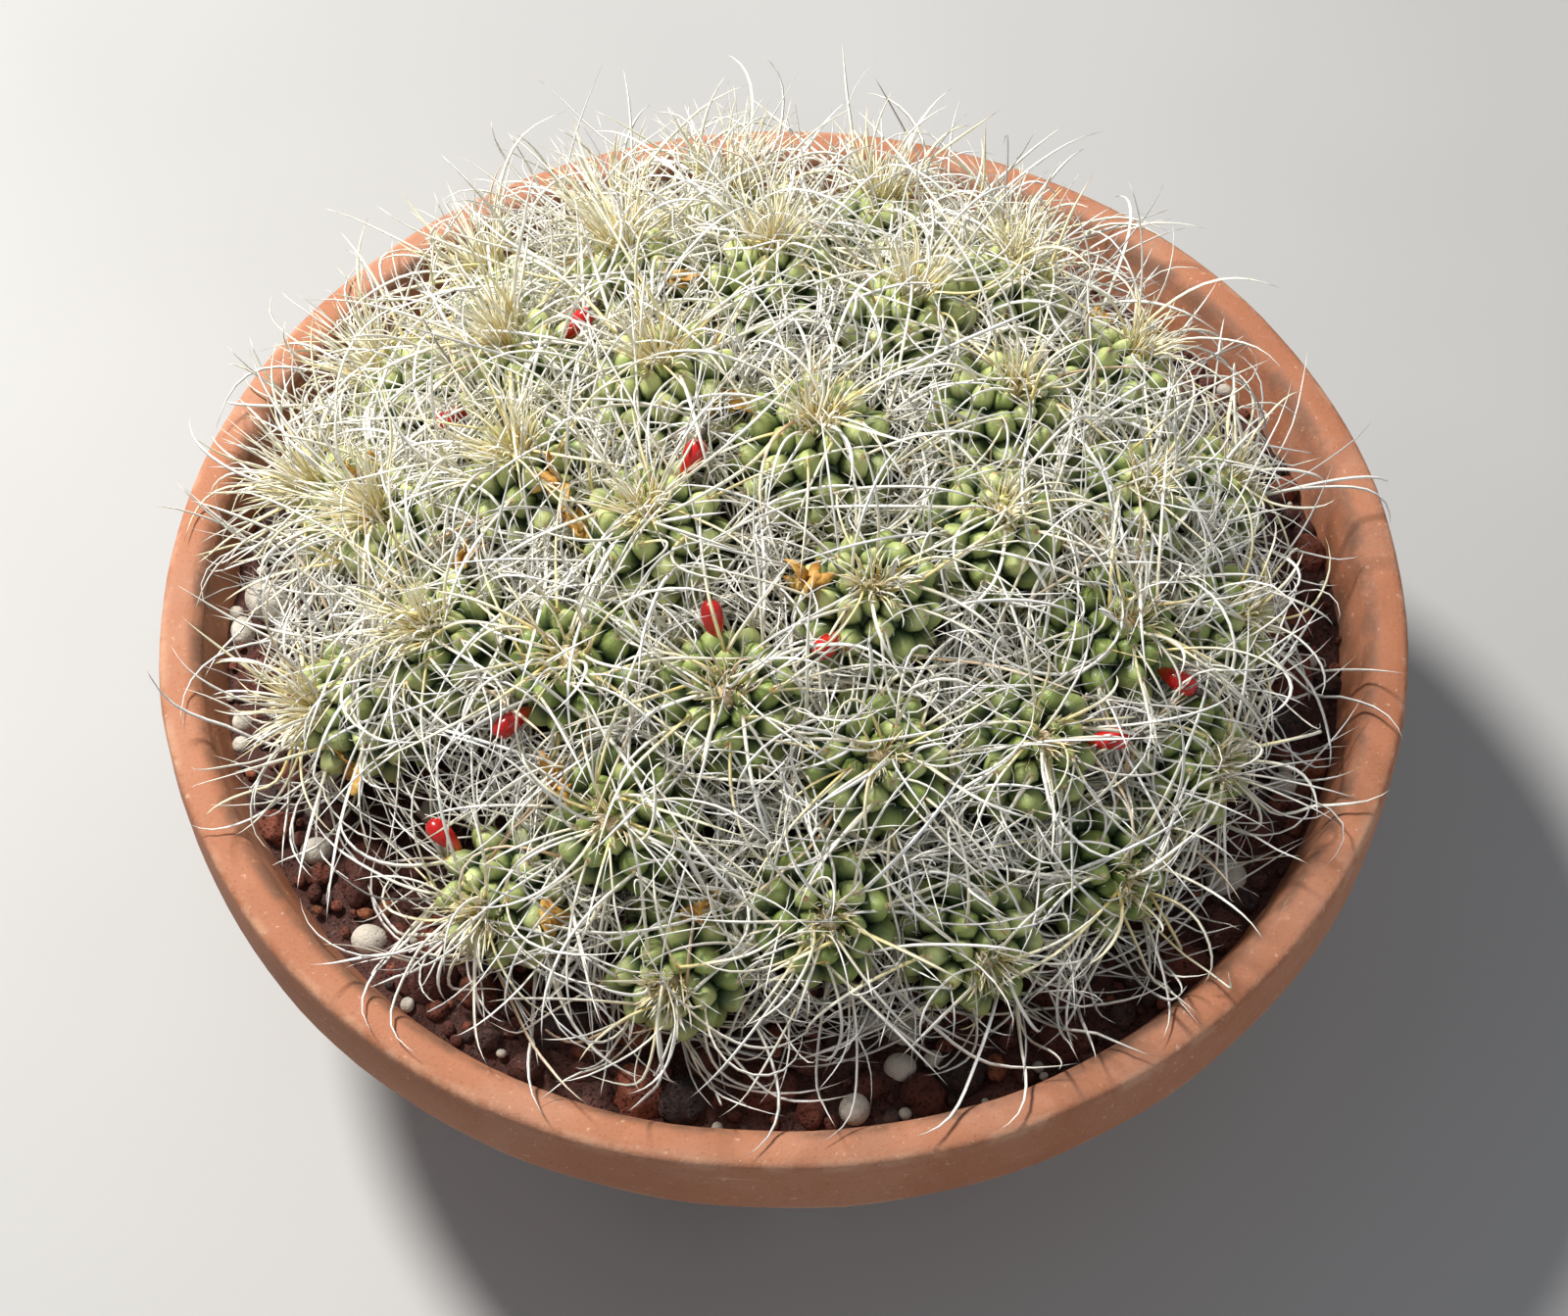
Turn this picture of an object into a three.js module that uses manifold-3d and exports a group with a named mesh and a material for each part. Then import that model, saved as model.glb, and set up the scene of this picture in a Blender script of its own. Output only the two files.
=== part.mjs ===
// A mother of hundreds cactus in a wide terracotta pan.
// Thirty-eight globular heads crowd into a low dome, each on its own stem that stands in the soil.
// A head is clad in fat tubercles set in crossing spirals, and long curved spines rise from their tips.
// Units are millimetres, +Z is up, and the origin is the middle of the pot's underside.
import * as THREE from "three";
import Module from "manifold-3d";

const wasm = await Module();
wasm.setup();

// Pot
const POT_HEIGHT = 150;
const POT_RADIUS = 200;
const POT_FOOT_RADIUS = 142;
const POT_WALL = 12;
const POT_FLOOR = 14;
const RIM_BAND = 33;
const RIM_STEP = 9;
const DRAIN_RADIUS = 12;
const POT_SIDES = 40;

// Soil and its lava gravel
const SOIL_TOP = 132;
const GAP = 0.35;
const GRAVEL_RELIEF = 3.2;
const STONE_COUNT = 24;
const STONE_SIZE = 9;
const STONE_SPREAD = 14;

// Dome of heads above the soil
const DOME_RADIUS = 165;
const DOME_HEIGHT = 105;
const LEAN_SHARE = 0.93;
// Where each head's tip lies in plan: its reach from the middle, and its azimuth in degrees counted
// from the front towards the right. The last four are heads that the spines all but hide.
const PLACES = [
  [11, 117], [50, -130], [49, -58], [69, 32], [74, 70], [75, 105], [81, 140],
  [85, 180], [103, -155], [102, -121], [117, 143], [135, 166], [130, 121], [101, 92],
  [139, 99], [107, 64], [145, 78], [138, 58], [112, 33], [98, 7], [96, -12],
  [96, -36], [117, -60], [148, -67], [126, -88], [155, -101], [155, -120], [149, -159],
  [155, 152], [147, -31], [143, -7], [155, 22], [142, 34], [131, 12],
  [150, -139], [119, -24], [128, -175], [82, -92],
];
// Neighbours push each other along the dome until they stand this far apart where they are widest.
const HEAD_SPACING = 46;
const CROWDING_ROUNDS = 60;
const CROWDING_PUSH = 0.4;
const FURTHEST_TIP = 155;

// Head
const WIDEST_DEPTH = 17;
const NECK_DEPTH = 38;
const HEAD_RADIUS = 28;
const NECK_RADIUS = 21;
const HEAD_CLEARANCE = 0.3;
const TUBERCLES_ROUND = 8;
const TUBERCLE_HEIGHT = 4.5;
const TUBERCLE_UPTURN = 2.2;
const APEX_DIP = 2.5;
const SPIRAL_TWIST = 0.1;
const ROOT_HALF_WIDTH = 7.5;
const ROOT_DEPTH = 9;
const ROOT_STANDS = 1;

// Spines
const SPINE_RADIUS = 0.75;
const SPINE_TIP_SHARE = 0.4;
const SPINE_SIDES = 3;
// Spines of one head by row of tubercles, from its tip outwards: how many, their shortest and longest
// length, their rise towards the head's axis, how far they bend over in degrees, and the straight
// parts they are made of.
const SPINE_ROWS = [
  { row: 0, count: 3, shortest: 20, longest: 32, rise: 1.3, bend: 25, parts: 2 },
  { row: 1, count: 3, shortest: 32, longest: 48, rise: 0.6, bend: 60, parts: 2 },
  { row: 2, count: 4, shortest: 44, longest: 64, rise: 0.2, bend: 80, parts: 3 },
  { row: 3, count: 3, shortest: 46, longest: 66, rise: 0.0, bend: 70, parts: 3 },
];
const SIDEWAYS_SCATTER = 1;
const RISE_SCATTER = 0.55;
const BEND_SCATTER = 1.6;
const LIGHTWARD = 0.12;
// A spine grows only where it keeps this far off all else; it tries again, shorter each time.
const SPINE_KEEP_OFF = 2.2;
const OWN_HEAD_KEEP_OFF = 1;
const SPINE_TRIES = 60;
const SHORTEST_SHARE = 0.55;
const SAMPLE_STEP = 2.5;
const REACH_LIMIT = 198;

// Fruit: [number of its head, turn round the head in degrees, row of hollows it stands in]
const FRUIT_LENGTH = 13.5;
const FRUIT_RADIUS = 3.3;
const FRUIT_LIFT = 1.25;
const FRUITS = [
  [3, 61, 2], [10, -144, 3], [4, -126, 2], [16, -36, 2], [19, 9, 2],
  [22, -144, 3], [30, 126, 3], [10, 9, 2], [21, 99, 2],
];

const material = (name, color, roughness) =>
  new THREE.MeshStandardMaterial({ name, color, roughness, metalness: 0 });
const TERRACOTTA = material("terracotta", 0xb5683f, 0.85);
const LAVA_GRAVEL = material("lava_gravel", 0x5a3129, 0.95);
const CACTUS = material("cactus", 0x8f9c6b, 0.6);
const RED_FRUIT = material("red_fruit", 0xc3161c, 0.35);

const HEAD_SEED = 1000;
const SOIL_SEED = 77;

const radians = THREE.MathUtils.degToRad;

// Seeded random numbers from 0 to 1
function randomFrom(seed) {
  let state = seed >>> 0;
  return () => {
    state = (state + 0x6d2b79f5) >>> 0;
    let t = Math.imul(state ^ (state >>> 15), 1 | state);
    t = (t + Math.imul(t ^ (t >>> 7), 61 | t)) ^ t;
    return ((t ^ (t >>> 14)) >>> 0) / 4294967296;
  };
}

// A closed surface gathered corner by corner and triangle by triangle
class Shell {
  constructor() {
    this.corners = [];
    this.triangles = [];
  }
  corner(point) {
    this.corners.push(point);
    return this.corners.length - 1;
  }
  face(a, b, c) {
    this.triangles.push(a, b, c);
  }
  // Fills the band between two loops that both run anticlockwise seen from outside
  band(outer, inner) {
    const at = (loop, k) => this.corners[loop[k % loop.length]];
    let start = 0;
    inner.forEach((_, k) => {
      if (at(inner, k).distanceTo(at(outer, 0)) < at(inner, start).distanceTo(at(outer, 0))) start = k;
    });
    let i = 0;
    let j = 0;
    while (i < outer.length || j < inner.length) {
      const o = outer[i % outer.length];
      const k = inner[(start + j) % inner.length];
      if ((i + 0.5) / outer.length < (j + 0.5) / inner.length) {
        this.face(o, outer[(i + 1) % outer.length], k);
        i += 1;
      } else {
        this.face(o, inner[(start + j + 1) % inner.length], k);
        j += 1;
      }
    }
  }
  geometry() {
    const made = new THREE.BufferGeometry().setFromPoints(this.corners);
    made.setIndex(this.triangles);
    return made;
  }
}

// Solids for cutting and joining
function solidOf(geometry) {
  return new wasm.Manifold(
    new wasm.Mesh({
      numProp: 3,
      vertProperties: new Float32Array(geometry.getAttribute("position").array),
      triVerts: new Uint32Array(geometry.index.array),
    }),
  );
}

function geometryOf(solid) {
  const mesh = solid.getMesh();
  const made = new THREE.BufferGeometry();
  made.setAttribute("position", new THREE.BufferAttribute(mesh.vertProperties, 3));
  made.setIndex(new THREE.BufferAttribute(mesh.triVerts, 1));
  return made;
}

// Pot: a plain pan with a rim band and a drain hole
const wallRadius = (z) =>
  POT_FOOT_RADIUS + ((POT_RADIUS - RIM_STEP - POT_FOOT_RADIUS) * z) / (POT_HEIGHT - RIM_BAND);

function makePot() {
  const bandFoot = POT_HEIGHT - RIM_BAND;
  const profile = [
    [DRAIN_RADIUS, POT_FLOOR],
    [DRAIN_RADIUS, 0],
    [POT_FOOT_RADIUS - 2, 0],
    [POT_FOOT_RADIUS + 1, 3],
    [POT_RADIUS - RIM_STEP, bandFoot],
    [POT_RADIUS, bandFoot + 4],
    [POT_RADIUS, POT_HEIGHT - 4],
    [POT_RADIUS - 4, POT_HEIGHT],
    [POT_RADIUS - POT_WALL + 3, POT_HEIGHT],
    [POT_RADIUS - POT_WALL, POT_HEIGHT - 3],
    [wallRadius(POT_FLOOR) - POT_WALL, POT_FLOOR],
    [DRAIN_RADIUS, POT_FLOOR],
  ];
  const pot = new THREE.LatheGeometry(profile.map(([r, z]) => new THREE.Vector2(r, z)), POT_SIDES);
  const mesh = new THREE.Mesh(pot, TERRACOTTA);
  mesh.name = "pot";
  mesh.rotation.x = Math.PI / 2;
  return mesh;
}

// The pot's inner wall, which the soil fills to GAP from it
function innerRadius(z) {
  const low = wallRadius(POT_FLOOR) - POT_WALL;
  const high = POT_RADIUS - POT_WALL;
  return low + ((high - low) * (z - POT_FLOOR)) / (POT_HEIGHT - 3 - POT_FLOOR);
}

// Heads: where each stands and how it leans
function domeHeight(reach) {
  return SOIL_TOP + DOME_HEIGHT * Math.sqrt(1 - (reach / DOME_RADIUS) ** 2);
}

// A head's tip, and the axis on which it leans out of the dome
function stand(x, y) {
  const reach = Math.hypot(x, y);
  const height = domeHeight(reach) - SOIL_TOP;
  const lean = LEAN_SHARE * Math.atan2(reach / DOME_RADIUS ** 2, height / DOME_HEIGHT ** 2);
  const tip = new THREE.Vector3(x, y, SOIL_TOP + height);
  const axis = new THREE.Vector3(x, y, 0).setLength(Math.sin(lean));
  axis.z = Math.cos(lean);
  return { tip, axis };
}

const below = ({ tip, axis }, depth) => tip.clone().addScaledVector(axis, -depth);

function crowd(places) {
  let plan = places.map(([reach, azimuth]) => {
    const turn = radians(azimuth);
    return new THREE.Vector2(reach * Math.sin(turn), -reach * Math.cos(turn));
  });
  for (let round = 0; round < CROWDING_ROUNDS; round += 1) {
    const widest = plan.map(({ x, y }) => below(stand(x, y), WIDEST_DEPTH));
    plan = plan.map((place, i) => {
      const moved = place.clone();
      plan.forEach((other, j) => {
        const lack = HEAD_SPACING - widest[i].distanceTo(widest[j]);
        if (i !== j && lack > 0) {
          moved.add(place.clone().sub(other).setLength(CROWDING_PUSH * lack));
        }
      });
      return moved.clampLength(0, FURTHEST_TIP);
    });
  }
  return plan;
}

function makeHeads() {
  const heads = crowd(PLACES).map(({ x, y }, k) => {
    const { tip, axis } = stand(x, y);
    const root = tip.clone().addScaledVector(axis, (SOIL_TOP - tip.z) / axis.z);
    return { tip, axis, root, number: k + 1 };
  });
  // A head grows until it meets its nearest neighbour, at its widest and again at its neck.
  const room = (head, depth, most) =>
    Math.min(
      most,
      ...heads
        .filter((other) => other !== head)
        .map((other) => below(head, depth).distanceTo(below(other, depth)) / 2 - HEAD_CLEARANCE),
    );
  for (const head of heads) {
    head.radius = room(head, WIDEST_DEPTH, HEAD_RADIUS);
    head.neck = room(head, NECK_DEPTH, Math.min(NECK_RADIUS, head.radius - 2));
  }
  return heads;
}

// The radius over the tubercles' tips at a depth below the head's tip
function outline(head, depth) {
  if (depth <= 0) return 0;
  if (depth < WIDEST_DEPTH) {
    return head.radius * Math.sqrt(1 - (1 - depth / WIDEST_DEPTH) ** 2);
  }
  const down = Math.min((depth - WIDEST_DEPTH) / (NECK_DEPTH - WIDEST_DEPTH), 1);
  return head.radius + (head.neck - head.radius) * down * down;
}

// The hollows between tubercles: rings of points, the first four on the cap and the rest below it
const CAP_ANGLES = [12, 34, 56, 78];
const LOWER_DEPTHS = [WIDEST_DEPTH + 5, WIDEST_DEPTH + 13, NECK_DEPTH];

function hollowRings(head) {
  const cap = CAP_ANGLES.map((degrees) => ({
    radius: (head.radius - TUBERCLE_HEIGHT) * Math.sin(radians(degrees)),
    depth: WIDEST_DEPTH - (WIDEST_DEPTH - APEX_DIP) * Math.cos(radians(degrees)),
  }));
  const lower = LOWER_DEPTHS.map((depth) => ({ radius: outline(head, depth) - TUBERCLE_HEIGHT, depth }));
  return [...cap, ...lower];
}

const turnStep = (2 * Math.PI) / TUBERCLES_ROUND;
const latticeTurn = (ring, i) => turnStep * (i + (ring % 2) / 2 + ring * SPIRAL_TWIST);

function onHead(radius, turn, depth) {
  return new THREE.Vector3(radius * Math.cos(turn), radius * Math.sin(turn), -depth);
}

// The tip of the tubercle in a row, counted from the head's own tip: it turns up a little
function tubercleTip(head, rings, row, i) {
  const turn = latticeTurn(row, i) + turnStep * SPIRAL_TWIST;
  const depth = rings[row + 1].depth - TUBERCLE_UPTURN;
  return onHead(outline(head, depth), turn, depth);
}

// Spines: a path of straight parts that bends away from the head's axis
function spinePath(start, direction, toward, length, bend, parts) {
  const points = [start.clone()];
  const heading = direction.clone().normalize();
  const hinge = new THREE.Vector3().crossVectors(heading, toward).normalize();
  for (let k = 0; k < parts; k += 1) {
    points.push(points[k].clone().addScaledVector(heading, length / parts));
    heading.applyAxisAngle(hinge, radians(bend) / parts);
  }
  return points;
}

function samples(path) {
  const found = [];
  for (let k = 0; k + 1 < path.length; k += 1) {
    const count = Math.ceil(path[k].distanceTo(path[k + 1]) / SAMPLE_STEP);
    for (let step = 1; step <= count; step += 1) {
      found.push(path[k].clone().lerp(path[k + 1], step / count));
    }
  }
  return found;
}

// Clear of the soil, of the pot's wall and of all that has grown so far
function isClear(points, own, heads, fruits, grown) {
  return points.every((p, at) => {
    const reach = Math.hypot(p.x, p.y);
    if (reach > REACH_LIMIT || p.z < SOIL_TOP + GRAVEL_RELIEF + 2) return false;
    if (p.z < POT_HEIGHT + 2 && reach > innerRadius(SOIL_TOP) - 4) return false;
    for (const head of heads) {
      const from = p.clone().sub(head.tip);
      const depth = -from.dot(head.axis);
      const apart = Math.sqrt(Math.max(from.lengthSq() - depth * depth, 0));
      const keep = head === own ? OWN_HEAD_KEEP_OFF : SPINE_KEEP_OFF;
      if (head === own && at < 3) continue;
      if (depth > -keep && apart < outline(head, depth + keep) + keep) return false;
    }
    if (fruits.some((fruit) => fruit.middle.distanceTo(p) < FRUIT_LENGTH / 2 + 1.5)) return false;
    return grown.every((other) => other.distanceTo(p) > SPINE_KEEP_OFF);
  });
}

// One chance spine of a kind from the tip of a tubercle; a later attempt is shorter
function tossSpine(start, head, kind, attempt, random) {
  const outward = start.clone().sub(head.tip);
  outward.addScaledVector(head.axis, -outward.dot(head.axis)).normalize();
  const aside = new THREE.Vector3().crossVectors(head.axis, outward);
  const direction = outward.clone().multiplyScalar(1 - 0.3 * kind.rise);
  direction.addScaledVector(head.axis, kind.rise + RISE_SCATTER * random());
  direction.addScaledVector(aside, SIDEWAYS_SCATTER * (random() - 0.5));
  direction.z += LIGHTWARD;
  const toward = outward.clone().addScaledVector(head.axis, -0.8);
  toward.addScaledVector(aside, BEND_SCATTER * (random() - 0.5));
  toward.z -= 0.5;
  const share = 1 - ((1 - SHORTEST_SHARE) * attempt) / SPINE_TRIES;
  const length = share * (kind.shortest + random() * (kind.longest - kind.shortest));
  const bend = kind.bend * (0.6 + 0.8 * random());
  return spinePath(start, direction, toward, length, bend, kind.parts);
}

function growSpines(head, rings, heads, fruits, grown) {
  const random = randomFrom(HEAD_SEED + head.number);
  const spines = new Map();
  for (const kind of SPINE_ROWS) {
    for (let k = 0; k < kind.count; k += 1) {
      for (let attempt = 0; attempt < SPINE_TRIES; attempt += 1) {
        const i = Math.floor(random() * TUBERCLES_ROUND);
        const key = kind.row * TUBERCLES_ROUND + i;
        const start = tubercleTip(head, rings, kind.row, i).applyMatrix4(head.frame);
        const path = tossSpine(start, head, kind, attempt, random);
        const points = samples(path);
        if (spines.has(key) || !isClear(points, head, heads, fruits, grown)) continue;
        spines.set(key, path);
        grown.push(...points.slice(1));
        break;
      }
    }
  }
  return spines;
}

// Adds a spine whose root spreads over the four hollows round its tubercle
function addSpine(shell, hollows, path, toLocal) {
  const points = path.map((p) => p.clone().applyMatrix4(toLocal));
  let side = new THREE.Vector3();
  let loop = null;
  for (let k = 0; k + 1 < points.length; k += 1) {
    const before = points[Math.max(k - 1, 0)];
    const along = points[k + 1].clone().sub(before).normalize();
    if (k === 0) side = shell.corners[hollows[0]].clone().sub(points[0]);
    side.addScaledVector(along, -side.dot(along)).normalize();
    const across = new THREE.Vector3().crossVectors(along, side);
    const radius = SPINE_RADIUS * (1 - ((1 - SPINE_TIP_SHARE) * k) / (points.length - 1));
    const ring = [];
    for (let s = 0; s < SPINE_SIDES; s += 1) {
      const turn = (2 * Math.PI * s) / SPINE_SIDES;
      const point = points[k].clone();
      point.addScaledVector(side, radius * Math.cos(turn));
      point.addScaledVector(across, radius * Math.sin(turn));
      ring.push(shell.corner(point));
    }
    if (k === 0) {
      shell.band(hollows, ring);
    } else {
      ring.forEach((_, s) => {
        const next = (s + 1) % SPINE_SIDES;
        shell.face(loop[s], loop[next], ring[next]);
        shell.face(loop[s], ring[next], ring[s]);
      });
    }
    loop = ring;
  }
  const tip = shell.corner(points[points.length - 1]);
  loop.forEach((_, s) => shell.face(loop[s], loop[(s + 1) % SPINE_SIDES], tip));
}

// One head: its tubercles, their spines, the stem and the square root in the soil
function makeHead(head, heads, fruits, grown) {
  const shell = new Shell();
  const rings = hollowRings(head);
  const last = rings.length - 1;
  const n = TUBERCLES_ROUND;
  const hollows = rings.map(({ radius, depth }, ring) =>
    Array.from({ length: n }, (_, i) => shell.corner(onHead(radius, latticeTurn(ring, i), depth))),
  );
  const at = (ring, i) => hollows[ring][(i + n) % n];
  const spines = growSpines(head, rings, heads, fruits, grown);
  const toLocal = head.frame.clone().invert();
  const apex = shell.corner(onHead(0, 0, APEX_DIP));
  for (let i = 0; i < n; i += 1) {
    shell.face(apex, at(0, i), at(0, i + 1));
    shell.face(at(0, i), at(1, i), at(0, i + 1));
    shell.face(at(last - 1, i + (last % 2)), at(last, i), at(last, i + 1));
    for (let row = 0; row + 2 <= last; row += 1) {
      const shift = row % 2;
      const corners = [at(row, i), at(row + 1, i - 1 + shift), at(row + 2, i), at(row + 1, i + shift)];
      const path = spines.get(row * n + i);
      if (path) {
        addSpine(shell, corners, path, toLocal);
      } else {
        const tip = shell.corner(tubercleTip(head, rings, row, i));
        corners.forEach((corner, k) => shell.face(corner, corners[(k + 1) % 4], tip));
      }
    }
  }
  addRoot(shell, head, hollows[last], toLocal);
  const mesh = new THREE.Mesh(shell.geometry(), CACTUS);
  mesh.name = `head_${String(head.number).padStart(2, "0")}`;
  mesh.applyMatrix4(head.frame);
  return mesh;
}

function rootLoop(root, halfWidth, z) {
  return [45, 135, 225, 315].map((degrees) => {
    const turn = radians(degrees);
    const reach = halfWidth * Math.SQRT2;
    return new THREE.Vector3(root.x + reach * Math.cos(turn), root.y + reach * Math.sin(turn), z);
  });
}

function addRoot(shell, head, lastRing, toLocal) {
  const loops = [SOIL_TOP + ROOT_STANDS, SOIL_TOP - ROOT_DEPTH].map((z) =>
    rootLoop(head.root, ROOT_HALF_WIDTH, z).map((p) => shell.corner(p.applyMatrix4(toLocal))),
  );
  shell.band(loops[0], lastRing);
  shell.band(loops[1], loops[0]);
  shell.face(loops[1][0], loops[1][2], loops[1][1]);
  shell.face(loops[1][0], loops[1][3], loops[1][2]);
}

// Fruit: a small red club that stands in a hollow between tubercles
function fruitGeometry() {
  const profile = [
    [0, 0], [0.35, 0.01], [0.8, 0.4], [1, 0.68], [0.75, 0.92], [0, 1],
  ].map(([r, z]) => new THREE.Vector2(r * FRUIT_RADIUS, z * FRUIT_LENGTH));
  return new THREE.LatheGeometry(profile, 6).rotateX(Math.PI / 2);
}

function placeFruits(heads) {
  return FRUITS.map(([number, degrees, row], k) => {
    const head = heads[number - 1];
    const { radius, depth } = hollowRings(head)[row];
    const nearest = Math.round((radians(degrees) - latticeTurn(row, 0)) / turnStep);
    const foot = onHead(radius, latticeTurn(row, nearest), depth);
    const direction = foot.clone().sub(onHead(0, 0, WIDEST_DEPTH)).normalize();
    foot.addScaledVector(direction, FRUIT_LIFT);
    const middle = foot.clone().addScaledVector(direction, FRUIT_LENGTH / 2);
    return {
      foot: foot.applyMatrix4(head.frame),
      middle: middle.applyMatrix4(head.frame),
      direction: direction.transformDirection(head.frame),
      name: `fruit_${k + 1}`,
    };
  });
}

function makeFruit(fruit, geometry) {
  const mesh = new THREE.Mesh(geometry, RED_FRUIT);
  mesh.name = fruit.name;
  mesh.position.copy(fruit.foot);
  mesh.quaternion.setFromUnitVectors(new THREE.Vector3(0, 0, 1), fruit.direction);
  return mesh;
}

// Soil: fills the pot, with gravel relief round the rim, a few large stones and a hole for each root
function soilBody(random, wall) {
  const shell = new Shell();
  const floor = POT_FLOOR + GAP;
  const ring = (radius, z, relief) =>
    Array.from({ length: POT_SIDES }, (_, i) => {
      const stray = relief ? 0.6 * (random() - 0.5) : 0;
      const turn = (2 * Math.PI * (i + stray)) / POT_SIDES;
      const height = z + relief * (2 * random() - 1);
      return shell.corner(new THREE.Vector3(radius * Math.cos(turn), radius * Math.sin(turn), height));
    });
  const loops = [
    ring(innerRadius(floor) - GAP, floor, 0),
    ring(wall, SOIL_TOP, 0),
    ring(wall - 9, SOIL_TOP, GRAVEL_RELIEF),
    ring(wall - 19, SOIL_TOP, GRAVEL_RELIEF),
    ring(wall - 29, SOIL_TOP, GRAVEL_RELIEF * 0.7),
    ring(wall - 40, SOIL_TOP, 0),
  ];
  const bottom = shell.corner(new THREE.Vector3(0, 0, floor));
  const top = shell.corner(new THREE.Vector3(0, 0, SOIL_TOP));
  const inner = loops[loops.length - 1];
  for (let i = 0; i < POT_SIDES; i += 1) {
    const next = (i + 1) % POT_SIDES;
    shell.face(bottom, loops[0][next], loops[0][i]);
    shell.face(top, inner[i], inner[next]);
    for (let k = 0; k + 1 < loops.length; k += 1) {
      shell.face(loops[k][i], loops[k][next], loops[k + 1][next]);
      shell.face(loops[k][i], loops[k + 1][next], loops[k + 1][i]);
    }
  }
  return solidOf(shell.geometry());
}

function rootHole(root) {
  const shell = new Shell();
  const [low, high] = [SOIL_TOP - ROOT_DEPTH - GAP, SOIL_TOP + 5].map((z) =>
    rootLoop(root, ROOT_HALF_WIDTH + GAP, z).map((p) => shell.corner(p)),
  );
  shell.band(low, high);
  shell.face(low[0], low[2], low[1]);
  shell.face(low[0], low[3], low[2]);
  shell.face(high[0], high[1], high[2]);
  shell.face(high[0], high[2], high[3]);
  return solidOf(shell.geometry());
}

function makeSoil(heads) {
  const random = randomFrom(SOIL_SEED);
  const wall = innerRadius(SOIL_TOP) - GAP;
  let soil = soilBody(random, wall);
  for (let k = 0; k < STONE_COUNT; k += 1) {
    soil = soil.add(stone(k, random, wall));
  }
  for (const { root } of heads) {
    soil = soil.subtract(rootHole(root));
  }
  const mesh = new THREE.Mesh(geometryOf(soil), LAVA_GRAVEL);
  mesh.name = "soil";
  return mesh;
}

// A rough lump of lava, half sunk in the gravel near the wall
function stone(k, random, wall) {
  const size = STONE_SIZE * (0.6 + 0.4 * random());
  const turn = (2 * Math.PI * (k + 0.5 * random())) / STONE_COUNT;
  const reach = wall - size - 2 - STONE_SPREAD * random();
  const lump = new THREE.OctahedronGeometry(size);
  lump.rotateZ(6 * random()).rotateX(6 * random());
  lump.scale(1, 0.85, 0.7).translate(reach * Math.cos(turn), reach * Math.sin(turn), SOIL_TOP + 1);
  const merged = new Shell();
  const seen = new Map();
  const position = lump.getAttribute("position");
  for (let v = 0; v < position.count; v += 1) {
    const point = new THREE.Vector3().fromBufferAttribute(position, v);
    const key = point.toArray().map((x) => x.toFixed(3)).join();
    if (!seen.has(key)) seen.set(key, merged.corner(point));
    merged.triangles.push(seen.get(key));
  }
  return solidOf(merged.geometry());
}

// The whole plant in its pot
const part = new THREE.Group();
part.name = "potted_cactus";

const heads = makeHeads();
for (const head of heads) {
  const lean = new THREE.Quaternion().setFromUnitVectors(new THREE.Vector3(0, 0, 1), head.axis);
  head.frame = new THREE.Matrix4().compose(head.tip, lean, new THREE.Vector3(1, 1, 1));
}
const fruits = placeFruits(heads);
const grown = [];

const plant = new THREE.Group();
plant.name = "plant";
heads.forEach((head) => plant.add(makeHead(head, heads, fruits, grown)));
const club = fruitGeometry();
fruits.forEach((fruit) => plant.add(makeFruit(fruit, club)));
part.add(makePot(), makeSoil(heads), plant);

export default part;
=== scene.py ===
# Potted mother of hundreds cactus: the dressed model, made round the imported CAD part.
# Lengths are in millimetres, as in the CAD, and become metres where a mesh is made.
import math
import bpy
import numpy as np
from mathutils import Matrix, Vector


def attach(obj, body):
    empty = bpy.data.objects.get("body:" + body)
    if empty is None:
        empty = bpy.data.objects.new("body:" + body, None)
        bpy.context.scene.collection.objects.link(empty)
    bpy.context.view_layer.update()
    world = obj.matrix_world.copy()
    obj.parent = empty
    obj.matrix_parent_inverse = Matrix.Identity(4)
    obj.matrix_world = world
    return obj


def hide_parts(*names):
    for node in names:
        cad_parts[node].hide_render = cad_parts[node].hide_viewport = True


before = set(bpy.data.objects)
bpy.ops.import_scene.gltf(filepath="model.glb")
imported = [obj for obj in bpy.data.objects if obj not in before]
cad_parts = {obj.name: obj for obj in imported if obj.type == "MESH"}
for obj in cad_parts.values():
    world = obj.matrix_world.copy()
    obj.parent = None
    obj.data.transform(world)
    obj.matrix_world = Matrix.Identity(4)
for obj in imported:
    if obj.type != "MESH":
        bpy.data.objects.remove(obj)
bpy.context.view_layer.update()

MM = 0.001
SEED = 2611

# Pot and gravel, as in the CAD
POT_HEIGHT = 150
POT_FOOT_RADIUS = 142
POT_WALL = 12
POT_FLOOR = 14
RIM_RADIUS = 200
RIM_STEP_Z = 117
RIM_STEP_RADIUS = 191
LIP_RADIUS = 188
DRAIN_RADIUS = 12
POT_SIDES = 144
POT_STEP = 11
SOIL_TOP = 132
WALL_GAP = 0.4

# Heads, as in the CAD: [reach, azimuth in degrees from the front towards the right]
DOME_RADIUS = 165
DOME_HEIGHT = 105
LEAN_SHARE = 0.93
PLACES = [
    [11, 117], [50, -130], [49, -58], [69, 32], [74, 70], [75, 105], [81, 140],
    [85, 180], [103, -155], [102, -121], [117, 143], [135, 166], [130, 121], [101, 92],
    [139, 99], [107, 64], [145, 78], [138, 58], [112, 33], [98, 7], [96, -12],
    [96, -36], [117, -60], [148, -67], [126, -88], [155, -101], [155, -120], [149, -159],
    [155, 152], [147, -31], [143, -7], [155, 22], [142, 34], [131, 12],
    [150, -139], [119, -24], [128, -175], [82, -92],
]
HEAD_SPACING = 46
CROWDING_ROUNDS = 60
CROWDING_PUSH = 0.4
FURTHEST_TIP = 155
WIDEST_DEPTH = 17
NECK_DEPTH = 38
HEAD_RADIUS = 28
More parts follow.
